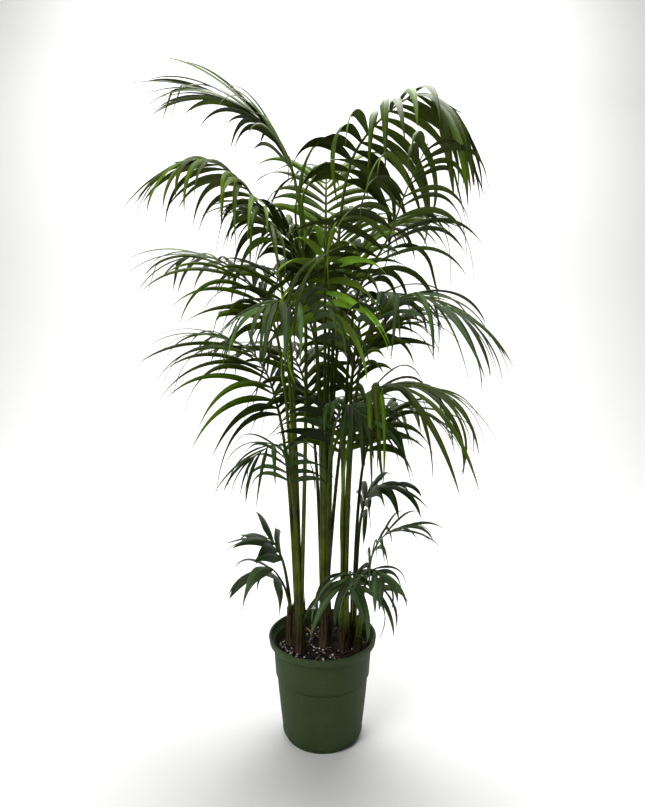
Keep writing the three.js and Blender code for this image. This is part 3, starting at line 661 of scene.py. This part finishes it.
    # each leaflet's own measures
    along, side, tangent = named("along"), named("side"), named("tangent", "FLOAT_VECTOR")
    across = g.vector("SUBTRACT", given["Across"],
                      g.scale(tangent, g.vector("DOT_PRODUCT", given["Across"], tangent)))
    across = g.vector("NORMALIZE", across)
    over = g.vector("NORMALIZE", g.vector("CROSS_PRODUCT", tangent, across))
    angle = g.sum(g.mix(g.math("POWER", along, 1.2), given["Low Spread"], given["Last Spread"]),
                  chance(-0.13, 0.13, 1))
    lift = g.sum(g.mix(along, given["Low Lift"], given["Last Lift"]), chance(-0.2, 0.22, 2))
    sine, cosine = g.math("SINE", angle), g.math("COSINE", angle)
    leave = g.vsum(g.scale(tangent, cosine),
                   g.scale(across, g.math("MULTIPLY", g.math("MULTIPLY", side, sine), g.math("COSINE", lift))),
                   g.scale(over, g.math("MULTIPLY", sine, g.math("SINE", lift))))
    spread = g.vector("NORMALIZE",
                      g.vector("SUBTRACT", tangent, g.scale(leave, g.vector("DOT_PRODUCT", tangent, leave))))
    arc = g.math("SINE", g.math("MULTIPLY", math.pi, g.sum(0.35, g.math("MULTIPLY", along, 0.5))))
    length = g.math("MULTIPLY", g.math("MULTIPLY", given["Length"], arc), chance(0.9, 1.06, 3))
    width = g.math("MULTIPLY", g.math("MULTIPLY", given["Width"], g.mix(along, 1.0, 0.72)),
                   chance(0.86, 1.12, 4))
    droop = g.math("MULTIPLY", g.mix(along, given["Low Droop"], given["Last Droop"]), chance(0.7, 1.3, 5))
    kink = g.math("LESS_THAN", chance(0.0, 1.0, 6), given["Kinks"])
    for name, kind, value in (("leave", "FLOAT_VECTOR", leave), ("spread", "FLOAT_VECTOR", spread),
                              ("long", "FLOAT", length), ("wide", "FLOAT", width), ("droop", "FLOAT", droop),
                              ("kink", "FLOAT", kink), ("fold_at", "FLOAT", chance(0.4, 0.7, 10)),
                              ("turn", "FLOAT", chance(-1.0, 1.0, 7)),
                              ("bend", "FLOAT", chance(-0.07, 0.07, 8)),
                              ("chance", "FLOAT", chance(0.0, 1.0, 9)),
                              ("root", "FLOAT_VECTOR", g.node("GeometryNodeInputPosition").outputs[0])):
        points = store(points, name, kind, value)
    blank = g.node("GeometryNodeObjectInfo", {"Object": given["Blank"]})
    copies = g.node("GeometryNodeInstanceOnPoints", {"Points": points, "Instance": blank.outputs["Geometry"]})
    loose = g.node("GeometryNodeRealizeInstances", {"Geometry": copies.outputs[0]}).outputs[0]

    # bend each copy into place
    t, s, w, face = named("t"), named("s"), named("w"), named("face")
    leave, spread, root = (named(n, "FLOAT_VECTOR") for n in ("leave", "spread", "root"))
    long, wide, droop, side = named("long"), named("wide"), named("droop"), named("side")
    square = g.math("MULTIPLY", t, t)
    fold_at = g.math("SUBTRACT", 1.0,
                     g.math("MULTIPLY", named("kink"), g.math("SUBTRACT", 1.0, named("fold_at"))))
    bent = g.math("MINIMUM", t, fold_at)
    past = g.math("SUBTRACT", t, bent)
    turned = g.math("MULTIPLY", droop, bent)
    run_out = g.sum(g.math("DIVIDE", g.math("SINE", turned), droop), g.math("MULTIPLY", past, 0.3))
    run_down = g.sum(g.math("DIVIDE", g.math("SUBTRACT", 1.0, g.math("COSINE", turned)), droop),
                     g.math("MULTIPLY", past, 0.95))
    down = tuple(DOWN)
    midrib = g.vsum(root, g.scale(leave, g.math("MULTIPLY", long, run_out)),
                    g.scale(down, g.math("MULTIPLY", long, run_down)),
                    g.scale(spread, g.math("MULTIPLY", g.math("MULTIPLY", long, named("bend")), square)))
    folded = g.math("GREATER_THAN", past, 0.0)
    run = g.vsum(g.scale(leave, g.mix(folded, g.math("COSINE", turned), 0.3)),
                 g.scale(down, g.mix(folded, g.math("SINE", turned), 0.95)))
    run = g.vector("NORMALIZE", run)
    up = g.scale(g.vector("NORMALIZE", g.vector("CROSS_PRODUCT", spread, run)), side)
    flat = g.scale(spread, g.math("MULTIPLY", side, -1.0))
    twist = g.math("MULTIPLY", g.math("MULTIPLY", named("turn"), given["Twist"]), t)
    twist_sine, twist_cosine = g.math("SINE", twist), g.math("COSINE", twist)
    broad = g.vsum(g.scale(flat, twist_cosine), g.scale(up, twist_sine))
    normal = g.vsum(g.scale(up, twist_cosine), g.scale(flat, g.math("MULTIPLY", twist_sine, -1.0)))
    half = g.math("MULTIPLY", g.math("MULTIPLY", wide, w), 0.5)
    sag = g.math("MULTIPLY",
                 g.math("MULTIPLY", g.math("MULTIPLY", half, g.math("ABSOLUTE", s)), given["Fold"]),
                 g.math("SUBTRACT", 0.5, g.math("MULTIPLY", t, 0.3)))
    rise = g.math("SUBTRACT", g.math("MULTIPLY", g.math("MULTIPLY", face, given["Thickness"]), 0.5),
                  g.math("MULTIPLY", sag, 2.0))
    place = g.vsum(midrib, g.scale(broad, g.math("MULTIPLY", half, s)), g.scale(normal, rise))
    bent = g.node("GeometryNodeSetPosition", {"Geometry": loose, "Position": place}).outputs[0]
    words = g.node("ShaderNodeCombineXYZ", {0: t, 1: s, 2: named("chance")}).outputs[0]
    leaflets = store(store(bent, "leaf", "FLOAT_VECTOR", words), "blade", "FLOAT", 1.0)

    # together
    joined = g.node("GeometryNodeJoinGeometry")
    g.tree.links.new(leaflets, joined.inputs[0])
    g.tree.links.new(stalk, joined.inputs[0])
    toned = store(joined.outputs[0], "tone", "FLOAT", given["Tone"])
    whole = g.node("GeometryNodeRealizeInstances", {"Geometry": toned}).outputs[0]
    for name in ("along", "tangent", "side", "leave", "spread", "long", "wide", "droop",
                 "kink", "fold_at", "turn", "bend", "chance", "root", "t", "s", "w"):
        whole = g.node("GeometryNodeRemoveAttribute", {"Geometry": whole, "Name": name}).outputs[0]
    is_blade = g.math("GREATER_THAN", named("blade"), 0.5)
    stalked = g.node("GeometryNodeSetMaterial", {"Geometry": whole, "Material": given["Stalk"]}).outputs[0]
    leafed = g.node("GeometryNodeSetMaterial",
                    {"Geometry": stalked, "Selection": is_blade, "Material": given["Leaf"]})
    g.put(out["Frond"], leafed.outputs[0])
    return tree


def make_frond(name, facts, tree, blank, materials, settings, seed):
    rng = random.Random(seed)
    line, collar = centreline(facts)
    source = curve_object("centre_" + name, line)
    face = math.radians(facts["face"])
    (long, wide), (low_droop, last_droop) = facts["blade"], facts["droop"]
    young = facts["leaf"] == "young"
    thick = 0.8 if young else 1.0
    piece = grown("frond_" + name, source, tree, {
        "Blank": blank, "Collar": collar, "Pairs": facts["pairs"] + (0 if young else settings.extra_pairs),
        "Length": long, "Width": wide * settings.leaflet_width, "Thickness": 0.0007,
        "Low Spread": math.radians(facts["spread"][0]), "Last Spread": math.radians(facts["spread"][1]),
        "Low Droop": low_droop, "Last Droop": last_droop, 
        "Low Lift": math.radians(facts["lift"][0]), "Last Lift": math.radians(facts["lift"][1]),
        "Across": (-math.sin(face), math.cos(face), 0.0),
        "Fold": settings.fold, "Twist": settings.twist, "Kinks": facts["kinks"],
        "Foot Radius": 0.0056 * thick, "Blade Radius": 0.0037 * thick, "Tip Radius": 0.0011,
        "Tone": rng.uniform(-0.1, 0.18), "Seed": seed * 31,
        "Leaf": materials["leaf_" + facts["leaf"]], "Stalk": materials["stalk"],
    })
    return piece


# ---------------------------------------------------------------- pot, soil and stems

WALL = 0.0026
POT_PROFILE = (
    # radius and height up the outside of the pot, from the foot to the lip
    (0.0968, 0.0), (0.0980, 0.0006), (0.0988, 0.0024), (0.1000, 0.0112), (0.1004, 0.0128), (0.1034, 0.0136),
    (0.1052, 0.0148), (0.1057, 0.0168), (0.1055, 0.0188), (0.1048, 0.0200), (0.1052, 0.0230), (0.1100, 0.0680),
    (0.1155, 0.1260), (0.1190, 0.1680), (0.1180, 0.1698), (0.1178, 0.1728), (0.1220, 0.1736), (0.1228, 0.1750),
    (0.1230, 0.1780),
    (0.1245, 0.2040), (0.1262, 0.2320),
    (0.1269, 0.2510), (0.1272, 0.2554), (0.1284, 0.2564), (0.1340, 0.2572), (0.1368, 0.2580), (0.1380, 0.2598),
    (0.1388, 0.2660), (0.1396, 0.2720), (0.1400, 0.2746), (0.1396, 0.2762), (0.1384, 0.2770),
)


def spin(bm, profile, sides, jitter=0.0):
    """Rings of vertices round +Z, one for each (radius, height), joined to each other in turn."""
    rings = []
    for radius, height in profile:
        ring = []
        for i in range(sides):
            turn = 2 * math.pi * i / sides
            r = radius * (1 + jitter * noise.noise(Vector((math.cos(turn) * 1.3, math.sin(turn) * 1.3, height * 6))))
            ring.append(bm.verts.new((r * math.cos(turn), r * math.sin(turn), height)))
        rings.append(ring)
    for a, b in zip(rings, rings[1:]):
        join_rings(bm, a, b)
    return rings


def join_rings(bm, a, b):
    for i in range(len(a)):
        j = (i + 1) % len(a)
        bm.faces.new((a[i], a[j], b[j], b[i]))


def make_pot(settings):
    def build(bm):
        outside = POT_PROFILE
        inside = [(radius - WALL, height) for radius, height in reversed(outside)
                  if 0.016 < height < 0.25]
        inside = [(0.1356, 0.2770), (0.1342, 0.2762), (0.1334, 0.2720), (0.1312, 0.2610), (0.1262, 0.2550),
                  *inside, (0.0976, 0.0140), (0.0950, WALL)]
        rings = spin(bm, [*outside, *inside], settings.pot_sides, 0.0)
        bm.faces.new(rings[0][::-1])
        bm.faces.new(rings[-1])
    piece = show("nursery_pot", mesh_from("nursery_pot", build))
    for i in range(settings.drain_holes):
        turn = 2 * math.pi * i / settings.drain_holes
        cutter = show("drain_cutter", mesh_from("drain_cutter", lambda bm: bmesh.ops.create_cone(
            bm, cap_ends=True, segments=24, radius1=0.006, radius2=0.006, depth=0.06)))
        cutter.location = (0.078 * math.cos(turn), 0.078 * math.sin(turn), 0.0)
        cut = piece.modifiers.new("drain", "BOOLEAN")
        cut.object = cutter
        cut.solver = "EXACT"
        bpy.context.view_layer.update()
        mesh = bpy.data.meshes.new_from_object(piece.evaluated_get(bpy.context.evaluated_depsgraph_get()))
        piece.modifiers.clear()
        piece.data = mesh
        bpy.data.objects.remove(cutter)
    shade_smooth(piece.data, 32)
    return piece


def make_soil():
    """The soil: its sides stand just clear of the wall and its top is a crumbly mound."""
    rings, sides = 56, 120
    wall = 0.1213
    below = ((0.1015, 0.020), (0.0965, 0.014), (0.0942, SOIL_LOW.z))

    def build(bm):
        top = []
        for i in range(rings):
            reach = wall * (1 - i / rings)
            ring = []
            for k in range(sides):
                turn = 2 * math.pi * k / sides
                place = Vector((reach * math.cos(turn), reach * math.sin(turn), 0))
                lump = 0.0035 * noise.noise(place * 32) + 0.0022 * noise.noise(place * 110)
                lump += 0.0012 * noise.noise(place * 300)
                mound = 0.004 * (1 - (reach / wall) ** 2)
                ring.append(bm.verts.new((place.x, place.y, SOIL_LEVEL + mound + lump)))
            top.append(ring)
        for a, b in zip(top, top[1:]):
            join_rings(bm, a, b)
        centre = bm.verts.new((0, 0, SOIL_LEVEL + 0.004))
        for k in range(sides):
            bm.faces.new((top[-1][k], top[-1][(k + 1) % sides], centre))
        low = top[0]
        for radius, height in below:
            lower = [bm.verts.new((radius * v.co.x / wall, radius * v.co.y / wall, height)) for v in top[0]]
            join_rings(bm, lower, low)
            low = lower
        bm.faces.new(low[::-1])
        bmesh.ops.recalc_face_normals(bm, faces=bm.faces)
    piece = show("soil", mesh_from("soil", build))
    shade_smooth(piece.data, 60)
    return piece


def tube_rings(bm, rings, close=True):
    for a, b in zip(rings, rings[1:]):
        join_rings(bm, a, b)
    if close:
        bm.faces.new(rings[0][::-1])
        bm.faces.new(rings[-1])


def stem_surface(axis, turn, height, radius, seed):
    """A point on the outside of a stem: lengthwise sheath ridges and uneven ring scars."""
    away = Vector((math.cos(turn), math.sin(turn), 0))
    ridges = noise.noise(Vector((away.x * 3.1, away.y * 3.1, height * 5 + seed)))
    strands = noise.noise(Vector((away.x * 11, away.y * 11, height * 9 + seed)))
    wander = noise.noise(away * 1.4 + Vector((0, 0, height * 8 + seed)))
    scar = max(0.0, math.sin(height * 260 + 1.6 * wander)) ** 6
    r = radius * (1 + 0.05 * ridges + 0.035 * strands) + 0.0006 * scar
    return Vector((axis.x, axis.y, height)) + away * r


def girth(axis, top, radius, height):
    """The stem's radius at a height: it narrows evenly towards the top."""
    return radius * (1.02 - 0.2 * (height - axis.z) / (top - axis.z))


def make_stem(palm, settings):
    """A short stem hidden in old leaf sheaths: a ridged core, and torn sheath strips round it."""
    axis, top, radius = stem_of(palm)
    rng = random.Random(palm)
    seed = rng.uniform(0, 50)
    low = axis.z
    sides, levels = 48, 44

    def build(bm):
        green = bm.verts.layers.float.new("green")
        rings = []
        for i in range(levels + 1):
            height = low + (top - low) * i / levels
            crown = max(0.0, (height - top + 0.008) / 0.008)
            r = girth(axis, top, radius, height) * (1 - 0.5 * crown ** 2)
            rings.append([bm.verts.new(stem_surface(axis, 2 * math.pi * k / sides, height, r, seed))
                          for k in range(sides)])
        tube_rings(bm, rings)
        for ring in rings:
            for vertex in ring:
                share = (vertex.co.z - SOIL_LEVEL) / (top - SOIL_LEVEL)
                vertex[green] = max(0.0, min(1.0, (share - 0.15) * 2.2))
        for layer in range(settings.sheaths):
            sheath_strip(bm, green, axis, top, radius, rng, layer, seed)
        bmesh.ops.recalc_face_normals(bm, faces=bm.faces)
    piece = show("stem_" + palm, mesh_from("stem_" + palm, build))
    shade_smooth(piece.data, 50)
    return piece


def sheath_strip(bm, green, axis, top, radius, rng, layer, seed):
    """A torn sheath strip: it hugs the stem from below the soil, and its top edge peels and frays."""
    middle = 2 * math.pi * rng.random()
    half = rng.uniform(0.25, 0.8)
    across, up = 10, 14
    start = SOIL_LEVEL - 0.012 + 0.2 * (top - SOIL_LEVEL) * rng.random() ** 2
    finish = SOIL_LEVEL + (top - SOIL_LEVEL) * rng.uniform(0.4, 1.05)
    peel = rng.uniform(0.0, 0.0022)
    sheets = []
    for offset in (0.0009, 0.0018):
        sheet = []
        for i in range(up + 1):
            row = []
            for k in range(across + 1):
                s = 2 * k / across - 1
                fray = 0.014 * noise.noise(Vector((k * 0.9, layer * 3.1, seed))) - 0.02 * s * s
                share = i / up
                height = start + (finish + fray - start) * share
                narrow = half * (1 - 0.35 * share)
                lift = offset + 0.0009 * layer * 0.5 + peel * share ** 3
                turn = middle + narrow * s + 0.15 * math.sin(share * 3 + layer)
                reach = girth(axis, top, radius, height) + lift
                row.append(bm.verts.new(stem_surface(axis, turn, height, reach, seed)))
            sheet.append(row)
        sheets.append(sheet)
    inner, outer = sheets
    greenness = rng.random() ** 2 * 0.5
    for sheet in sheets:
        for row in sheet:
            for vertex in row:
                vertex[green] = greenness
    for i in range(up):
        for k in range(across):
            bm.faces.new((outer[i][k], outer[i][k + 1], outer[i + 1][k + 1], outer[i + 1][k]))
            bm.faces.new((inner[i][k + 1], inner[i][k], inner[i + 1][k], inner[i + 1][k + 1]))
    rim_inner = rim_of(inner)
    rim_outer = rim_of(outer)
    for i in range(len(rim_inner)):
        j = (i + 1) % len(rim_inner)
        bm.faces.new((rim_inner[i], rim_inner[j], rim_outer[j], rim_outer[i]))


def rim_of(sheet):
    """The vertices round the edge of a grid, in order."""
    return [*sheet[0], *(row[-1] for row in sheet[1:]), *reversed(sheet[-1][:-1]),
            *(row[0] for row in reversed(sheet[1:-1]))]


# ---------------------------------------------------------------- litter on the soil

def scatter_tree():
    """Drops copies of one small shape on the soil, turned and sized at random."""
    tree, g, given, out = new_tree("Scatter", "GeometryNodeTree", [
        ("INPUT", "Ground", "NodeSocketGeometry", None),
        ("OUTPUT", "Litter", "NodeSocketGeometry", None),
        ("INPUT", "Shape", "NodeSocketObject", None),
        ("INPUT", "Density", "NodeSocketFloat", 2000.0),
        ("INPUT", "Smallest", "NodeSocketFloat", 0.5),
        ("INPUT", "Largest", "NodeSocketFloat", 1.2),
        ("INPUT", "Tilt", "NodeSocketFloat", 0.3),
        ("INPUT", "Lean Left", "NodeSocketFloat", 0.0),
        ("INPUT", "Seed", "NodeSocketInt", 1),
        ("INPUT", "Material", "NodeSocketMaterial", None),
    ])
    place = g.node("GeometryNodeInputPosition").outputs[0]
    parts = g.node("ShaderNodeSeparateXYZ", {0: place})
    level = g.node("ShaderNodeCombineXYZ", {0: parts.outputs[0], 1: parts.outputs[1], 2: 0.0}).outputs[0]
    within = g.math("LESS_THAN", g.vector("LENGTH", level), 0.116)
    above = g.math("GREATER_THAN", parts.outputs[2], SOIL_LEVEL - 0.01)
    chosen = g.math("MULTIPLY", within, above)
    patchy = g.node("ShaderNodeTexNoise", {"Vector": place, "Scale": 22.0}).outputs["Fac"]
    leftward = g.math("MULTIPLY", g.math("MULTIPLY", parts.outputs[0], -12.0), given["Lean Left"])
    density = g.math("MULTIPLY", given["Density"], g.math("MAXIMUM", 0.0, g.sum(
        g.ramp(patchy, 0.35, 0.65, 0.3, 1.6), leftward)))
    spots = g.node("GeometryNodeDistributePointsOnFaces", {"Mesh": given["Ground"], "Selection": chosen},
                   distribute_method="RANDOM")
    g.put(live(spots.inputs, "Density"), density)
    g.put(spots.inputs["Seed"], given["Seed"])

    def chance(low, high, offset):
        made = g.node("FunctionNodeRandomValue", data_type="FLOAT")
        g.put(made.inputs[2], low)
        g.put(made.inputs[3], high)
        g.put(made.inputs["Seed"], g.math("ADD", given["Seed"], float(offset)))
        return made.outputs[1]
    tilt_back = g.math("MULTIPLY", given["Tilt"], -1.0)
    turned = g.node("ShaderNodeCombineXYZ", {0: chance(tilt_back, given["Tilt"], 3),
                                             1: chance(tilt_back, given["Tilt"], 4),
                                             2: chance(0.0, 2 * math.pi, 5)}).outputs[0]
    size = chance(given["Smallest"], given["Largest"], 6)
    store = g.node("GeometryNodeStoreNamedAttribute", {"Geometry": spots.outputs["Points"], "Name": "bit"},
                   data_type="FLOAT", domain="POINT")
    g.put(live(store.inputs, "Value"), chance(0.0, 1.0, 7))
    shape = g.node("GeometryNodeObjectInfo", {"Object": given["Shape"]})
    copies = g.node("GeometryNodeInstanceOnPoints",
                    {"Points": store.outputs[0], "Rotation": turned, "Scale": size,
                     "Instance": shape.outputs["Geometry"]})
    whole = g.node("GeometryNodeRealizeInstances", {"Geometry": copies.outputs[0]}).outputs[0]
    g.put(out["Litter"], g.node("GeometryNodeSetMaterial", {"Geometry": whole,
                                                           "Material": given["Material"]}).outputs[0])
    return tree


def crumb(name, sizes, lumps, seed):
    """A lumpy grain of those half sizes."""
    def build(bm):
        bmesh.ops.create_icosphere(bm, subdivisions=2 if lumps < 0.4 else 1, radius=1.0)
        for vertex in bm.verts:
            bump = 1 + lumps * noise.noise(vertex.co * 1.4 + Vector((seed, 0, 0)))
            vertex.co = Vector(c * s * bump for c, s in zip(vertex.co, sizes))
    mesh = mesh_from(name, build)
    return show(name, mesh)


def strand(name, length, width, thick, arch, steps):
    """A bent strip lying on its side, tapered at both ends."""
    def build(bm):
        rings = []
        for i in range(steps + 1):
            t = i / steps
            taper = 0.25 + 0.75 * math.sin(math.pi * t)
            centre = Vector((length * (t - 0.5), 0.18 * length * math.sin(2.6 * t),
                             arch * math.sin(math.pi * t)))
            half, deep = 0.5 * width * taper, 0.5 * thick
            rings.append([bm.verts.new(centre + Vector(offset)) for offset in
                          ((0, -half, 0), (0, 0, -deep - 0.2 * half), (0, half, 0), (0, 0, deep - 0.2 * half))])
        tube_rings(bm, rings)
        bmesh.ops.recalc_face_normals(bm, faces=bm.faces)
    mesh = mesh_from(name, build)
    for polygon in mesh.polygons:
        polygon.use_smooth = True
    return show(name, mesh)


def copy_of(piece):
    return show(piece.name + "_ground", piece.data.copy())


# ---------------------------------------------------------------- stage

def area_light(name, place, aim, size, power, colour=(1, 1, 1)):
    light = bpy.data.lights.new(name, "AREA")
    light.shape = "RECTANGLE"
    light.size, light.size_y = size
    light.energy = power
    light.color = colour
    lamp = bpy.data.objects.new(name, light)
    lamp.location = place
    lamp.rotation_euler = (Vector(aim) - Vector(place)).to_track_quat("-Z", "Y").to_euler()
    bpy.context.scene.collection.objects.link(lamp)
    return lamp


def make_stage(settings):
    scene = bpy.context.scene
    scene.view_settings.view_transform = "Standard"

    def build(bm):
        rows = [(-3.5, 0.0), (1.2, 0.0)]
        rows += [(1.2 + 1.5 * math.sin(a), 1.5 * (1 - math.cos(a)))
                 for a in (i * math.pi / 24 for i in range(1, 13))]
        rows.append((2.7, 4.5))
        edges = [[bm.verts.new((x, y, z - 0.0005)) for x in (-4.5, 4.5)] for y, z in rows]
        for a, b in zip(edges, edges[1:]):
            bm.faces.new((a[0], a[1], b[1], b[0]))
    floor = show("studio_floor", mesh_from("studio_floor", build))
    for polygon in floor.data.polygons:
        polygon.use_smooth = True
    material, _, shader = new_material("studio_paper")
    shader.inputs["Base Color"].default_value = (0.86, 0.86, 0.85, 1)
    shader.inputs["Roughness"].default_value = 0.9
    floor.data.materials.append(material)

    world = bpy.data.worlds.new("studio")
    world.use_nodes = True
    world.node_tree.nodes["Background"].inputs["Color"].default_value = (1.0, 1.0, 1.0, 1)
    world.node_tree.nodes["Background"].inputs["Strength"].default_value = settings.sky
    scene.world = world
    area_light("key", (-1.5, -1.9, 2.7), (0, 0, 0.9), (1.4, 1.4), settings.key)
    area_light("fill", (2.1, -1.5, 1.6), (0, 0, 0.8), (1.6, 1.6), settings.fill)
    area_light("top", (0.2, 0.5, 3.1), (0, 0, 1.0), (1.8, 1.8), settings.top)
    area_light("backdrop", (0, 1.4, 3.1), (0, 2.7, 1.2), (3.0, 0.8), settings.wall)

    lens = bpy.data.cameras.new("camera")
    lens.lens = 29.0
    lens.sensor_width = 36.0
    camera = bpy.data.objects.new("camera", lens)
    camera.location = (0.0, -1.594, 1.125)
    camera.rotation_euler = (math.radians(90 - 8.6), 0, 0)
    scene.collection.objects.link(camera)
    scene.camera = camera


# ---------------------------------------------------------------- the add-on

class PotSettings(bpy.types.PropertyGroup):
    pot_sides: IntProperty(name="Sides", default=160, min=24, max=256)
    drain_holes: IntProperty(name="Drain holes", default=8, min=0, max=16)


class SoilSettings(bpy.types.PropertyGroup):
    perlite: FloatProperty(name="Perlite", description="Grains in a square metre", default=2700.0, min=0)
    bark: FloatProperty(name="Bark", description="Chips in a square metre", default=5200.0, min=0)
    fibre: FloatProperty(name="Fibre", description="Strands in a square metre", default=3800.0, min=0)
    scraps: FloatProperty(name="Dry scraps", description="Scraps in a square metre", default=900.0, min=0)


class StemSettings(bpy.types.PropertyGroup):
    sheaths: IntProperty(name="Sheath strips", default=7, min=0, max=20)


class FrondSettings(bpy.types.PropertyGroup):
    leaflet_width: FloatProperty(name="Leaflet width", default=1.05, min=0.3, max=2)
    extra_pairs: IntProperty(name="Extra leaflet pairs", default=2, min=0, max=6)
    fold: FloatProperty(name="Fold", description="How far a leaflet's edges hang", default=0.45, min=0, max=1)
    twist: FloatProperty(name="Twist", description="Most turn of a leaflet at its tip",
                         default=0.7, min=0, max=3)


class StageSettings(bpy.types.PropertyGroup):
    sky: FloatProperty(name="Sky", default=0.05, min=0)
    key: FloatProperty(name="Key light", default=60.0, min=0)
    fill: FloatProperty(name="Fill light", default=4.0, min=0)
    top: FloatProperty(name="Top light", default=95.0, min=0)
    wall: FloatProperty(name="Backdrop light", default=62.0, min=0)


MATERIALS = {}


def prepare_materials():
    """Makes the node groups and every material of the plant, once."""
    if MATERIALS:
        return
    GROUPS["Mottle"] = mottle_group()
    GROUPS["Streaks"] = streak_group()
    MATERIALS.update({
        "pot": pot_material(),
        "soil": soil_material(),
        "stem": stem_material(),
        "stalk": stalk_material(),
        "leaf_mature": leaf_material("leaf_mature", (0.062, 0.098, 0.005), (0.015, 0.030, 0.002),
                                     (0.048, 0.066, 0.014), 0.42),
        # A lighter, greyer copy of the mature leaf for the front fronds: painted sheen.
        "leaf_pale": leaf_material("leaf_pale", (0.066, 0.108, 0.030), (0.030, 0.056, 0.016),
                                   (0.070, 0.100, 0.050), 0.46),
        # A darker copy of the mature leaf for the low fronds under the canopy: painted shade.
        "leaf_dark": leaf_material("leaf_dark", (0.026, 0.052, 0.008), (0.011, 0.024, 0.005),
                                   (0.034, 0.054, 0.018), 0.42),
        "leaf_new": leaf_material("leaf_new", (0.190, 0.330, 0.024), (0.110, 0.210, 0.014),
                                  (0.180, 0.290, 0.050), 0.42),
        "leaf_young": leaf_material("leaf_young", (0.056, 0.086, 0.032), (0.028, 0.048, 0.018),
                                    (0.070, 0.098, 0.048), 0.44),
        "perlite": litter_material("perlite", (0.55, 0.53, 0.47), (0.82, 0.81, 0.77), 600.0),
        "bark": litter_material("bark", (0.008, 0.005, 0.003), (0.040, 0.024, 0.014), 500.0),
        "fibre": litter_material("fibre", (0.04, 0.024, 0.012), (0.13, 0.085, 0.045), 400.0),
        "scraps": litter_material("dry_scraps", (0.12, 0.075, 0.035), (0.30, 0.21, 0.11), 200.0, 0.7),
    })


class PALM_OT_pot(bpy.types.Operator):
    """Make the nursery pot"""
    bl_idname = "palm.pot"
    bl_label = "Pot"

    def execute(self, context):
        prepare_materials()
        piece = make_pot(context.scene.palm_pot)
        piece.data.materials.clear()
        piece.data.materials.append(MATERIALS["pot"])
        settle_piece(piece, "pot_plastic", "nursery_pot")
        return {"FINISHED"}


class PALM_OT_soil(bpy.types.Operator):
    """Make the soil and scatter its litter"""
    bl_idname = "palm.soil"
    bl_label = "Soil"

    def execute(self, context):
        prepare_materials()
        settings = context.scene.palm_soil
        piece = make_soil()
        piece.data.materials.append(MATERIALS["soil"])
        scatter = scatter_tree()
        # name, shape, count, smallest, largest, tilt, lean to the left
        kinds = (
            ("perlite", crumb("grain", (0.0022, 0.0019, 0.0016), 0.35, 3), settings.perlite,
             0.6, 1.7, 1.5, 1.0),
            ("bark", crumb("chip", (0.0062, 0.0040, 0.0020), 0.7, 9), settings.bark, 0.4, 1.4, 0.5, 0.0),
            ("fibre", strand("thread", 0.022, 0.0008, 0.0006, 0.003, 7), settings.fibre, 0.4, 1.5, 0.35, 0.0),
            ("scraps", strand("scrap", 0.034, 0.0055, 0.0006, 0.004, 7), settings.scraps, 0.5, 1.3, 0.3, 0.0),
        )
        for number, (name, shape, count, smallest, largest, tilt, lean) in enumerate(kinds):
            litter = grown("litter_" + name, copy_of(piece), scatter, {
                "Shape": shape, "Density": count, "Smallest": smallest, "Largest": largest, "Tilt": tilt,
                "Lean Left": lean, "Seed": 11 + 7 * number, "Material": MATERIALS[name],
            })
            bpy.data.objects.remove(shape)
            settle_piece(litter, "potting_soil")
        settle_piece(piece, "potting_soil", "soil")
        return {"FINISHED"}


class PALM_OT_stems(bpy.types.Operator):
    """Make the sheathed stems"""
    bl_idname = "palm.stems"
    bl_label = "Stems"

    def execute(self, context):
        prepare_materials()
        for palm in PALMS:
            piece = make_stem(palm, context.scene.palm_stems)
            piece.data.materials.append(MATERIALS["stem"])
            settle_piece(piece, "stem_fibre", "stem_" + palm)
        return {"FINISHED"}


# The lighter, greyer copy of the mature leaf (painted sheen) and the darker copy (painted shade) share its slot.
SLOTS = {"mature": "mature_leaf", "pale": "mature_leaf", "dark": "mature_leaf",
         "new": "new_leaf", "young": "young_leaf"}


class PALM_OT_fronds(bpy.types.Operator):
    """Grow every frond on its centreline"""
    bl_idname = "palm.fronds"
    bl_label = "Fronds"

    def execute(self, context):
        prepare_materials()
        settings = context.scene.palm_fronds
        blank = leaflet_blank()
        tree = frond_tree()
        for number, (name, facts) in enumerate(FRONDS.items()):
            piece = make_frond(name, facts, tree, blank, MATERIALS, settings, number + 1)
            settle_piece(piece, SLOTS[facts["leaf"]], "frond_" + name)
        bpy.data.objects.remove(blank)
        return {"FINISHED"}


class PALM_OT_stage(bpy.types.Operator):
    """Set the floor, the lights and the camera"""
    bl_idname = "palm.stage"
    bl_label = "Stage"

    def execute(self, context):
        make_stage(context.scene.palm_stage)
        return {"FINISHED"}


class VIEW3D_PT_palm(bpy.types.Panel):
    bl_label = "Kentia palm"
    bl_space_type = "VIEW_3D"
    bl_region_type = "UI"
    bl_category = "Palm"

    def draw(self, context):
        for name, operator in (("palm_pot", "palm.pot"), ("palm_soil", "palm.soil"), ("palm_stems", "palm.stems"),
                               ("palm_fronds", "palm.fronds"), ("palm_stage", "palm.stage")):
            box = self.layout.box()
            settings = getattr(context.scene, name)
            for key in type(settings).__annotations__:
                box.prop(settings, key)
            box.operator(operator)


SETTINGS = {"palm_pot": PotSettings, "palm_soil": SoilSettings, "palm_stems": StemSettings,
            "palm_fronds": FrondSettings, "palm_stage": StageSettings}
CLASSES = (*SETTINGS.values(), PALM_OT_pot, PALM_OT_soil, PALM_OT_stems, PALM_OT_fronds, PALM_OT_stage,
           VIEW3D_PT_palm)


def register():
    for cls in CLASSES:
        bpy.utils.register_class(cls)
    for name, cls in SETTINGS.items():
        setattr(bpy.types.Scene, name, PointerProperty(type=cls))


def unregister():
    for name in SETTINGS:
        delattr(bpy.types.Scene, name)
    for cls in reversed(CLASSES):
        bpy.utils.unregister_class(cls)


def main():
    register()
    bpy.ops.palm.pot()
    bpy.ops.palm.soil()
    bpy.ops.palm.stems()
    bpy.ops.palm.fronds()
    bpy.ops.palm.stage()


if __name__ == "__main__":
    main()
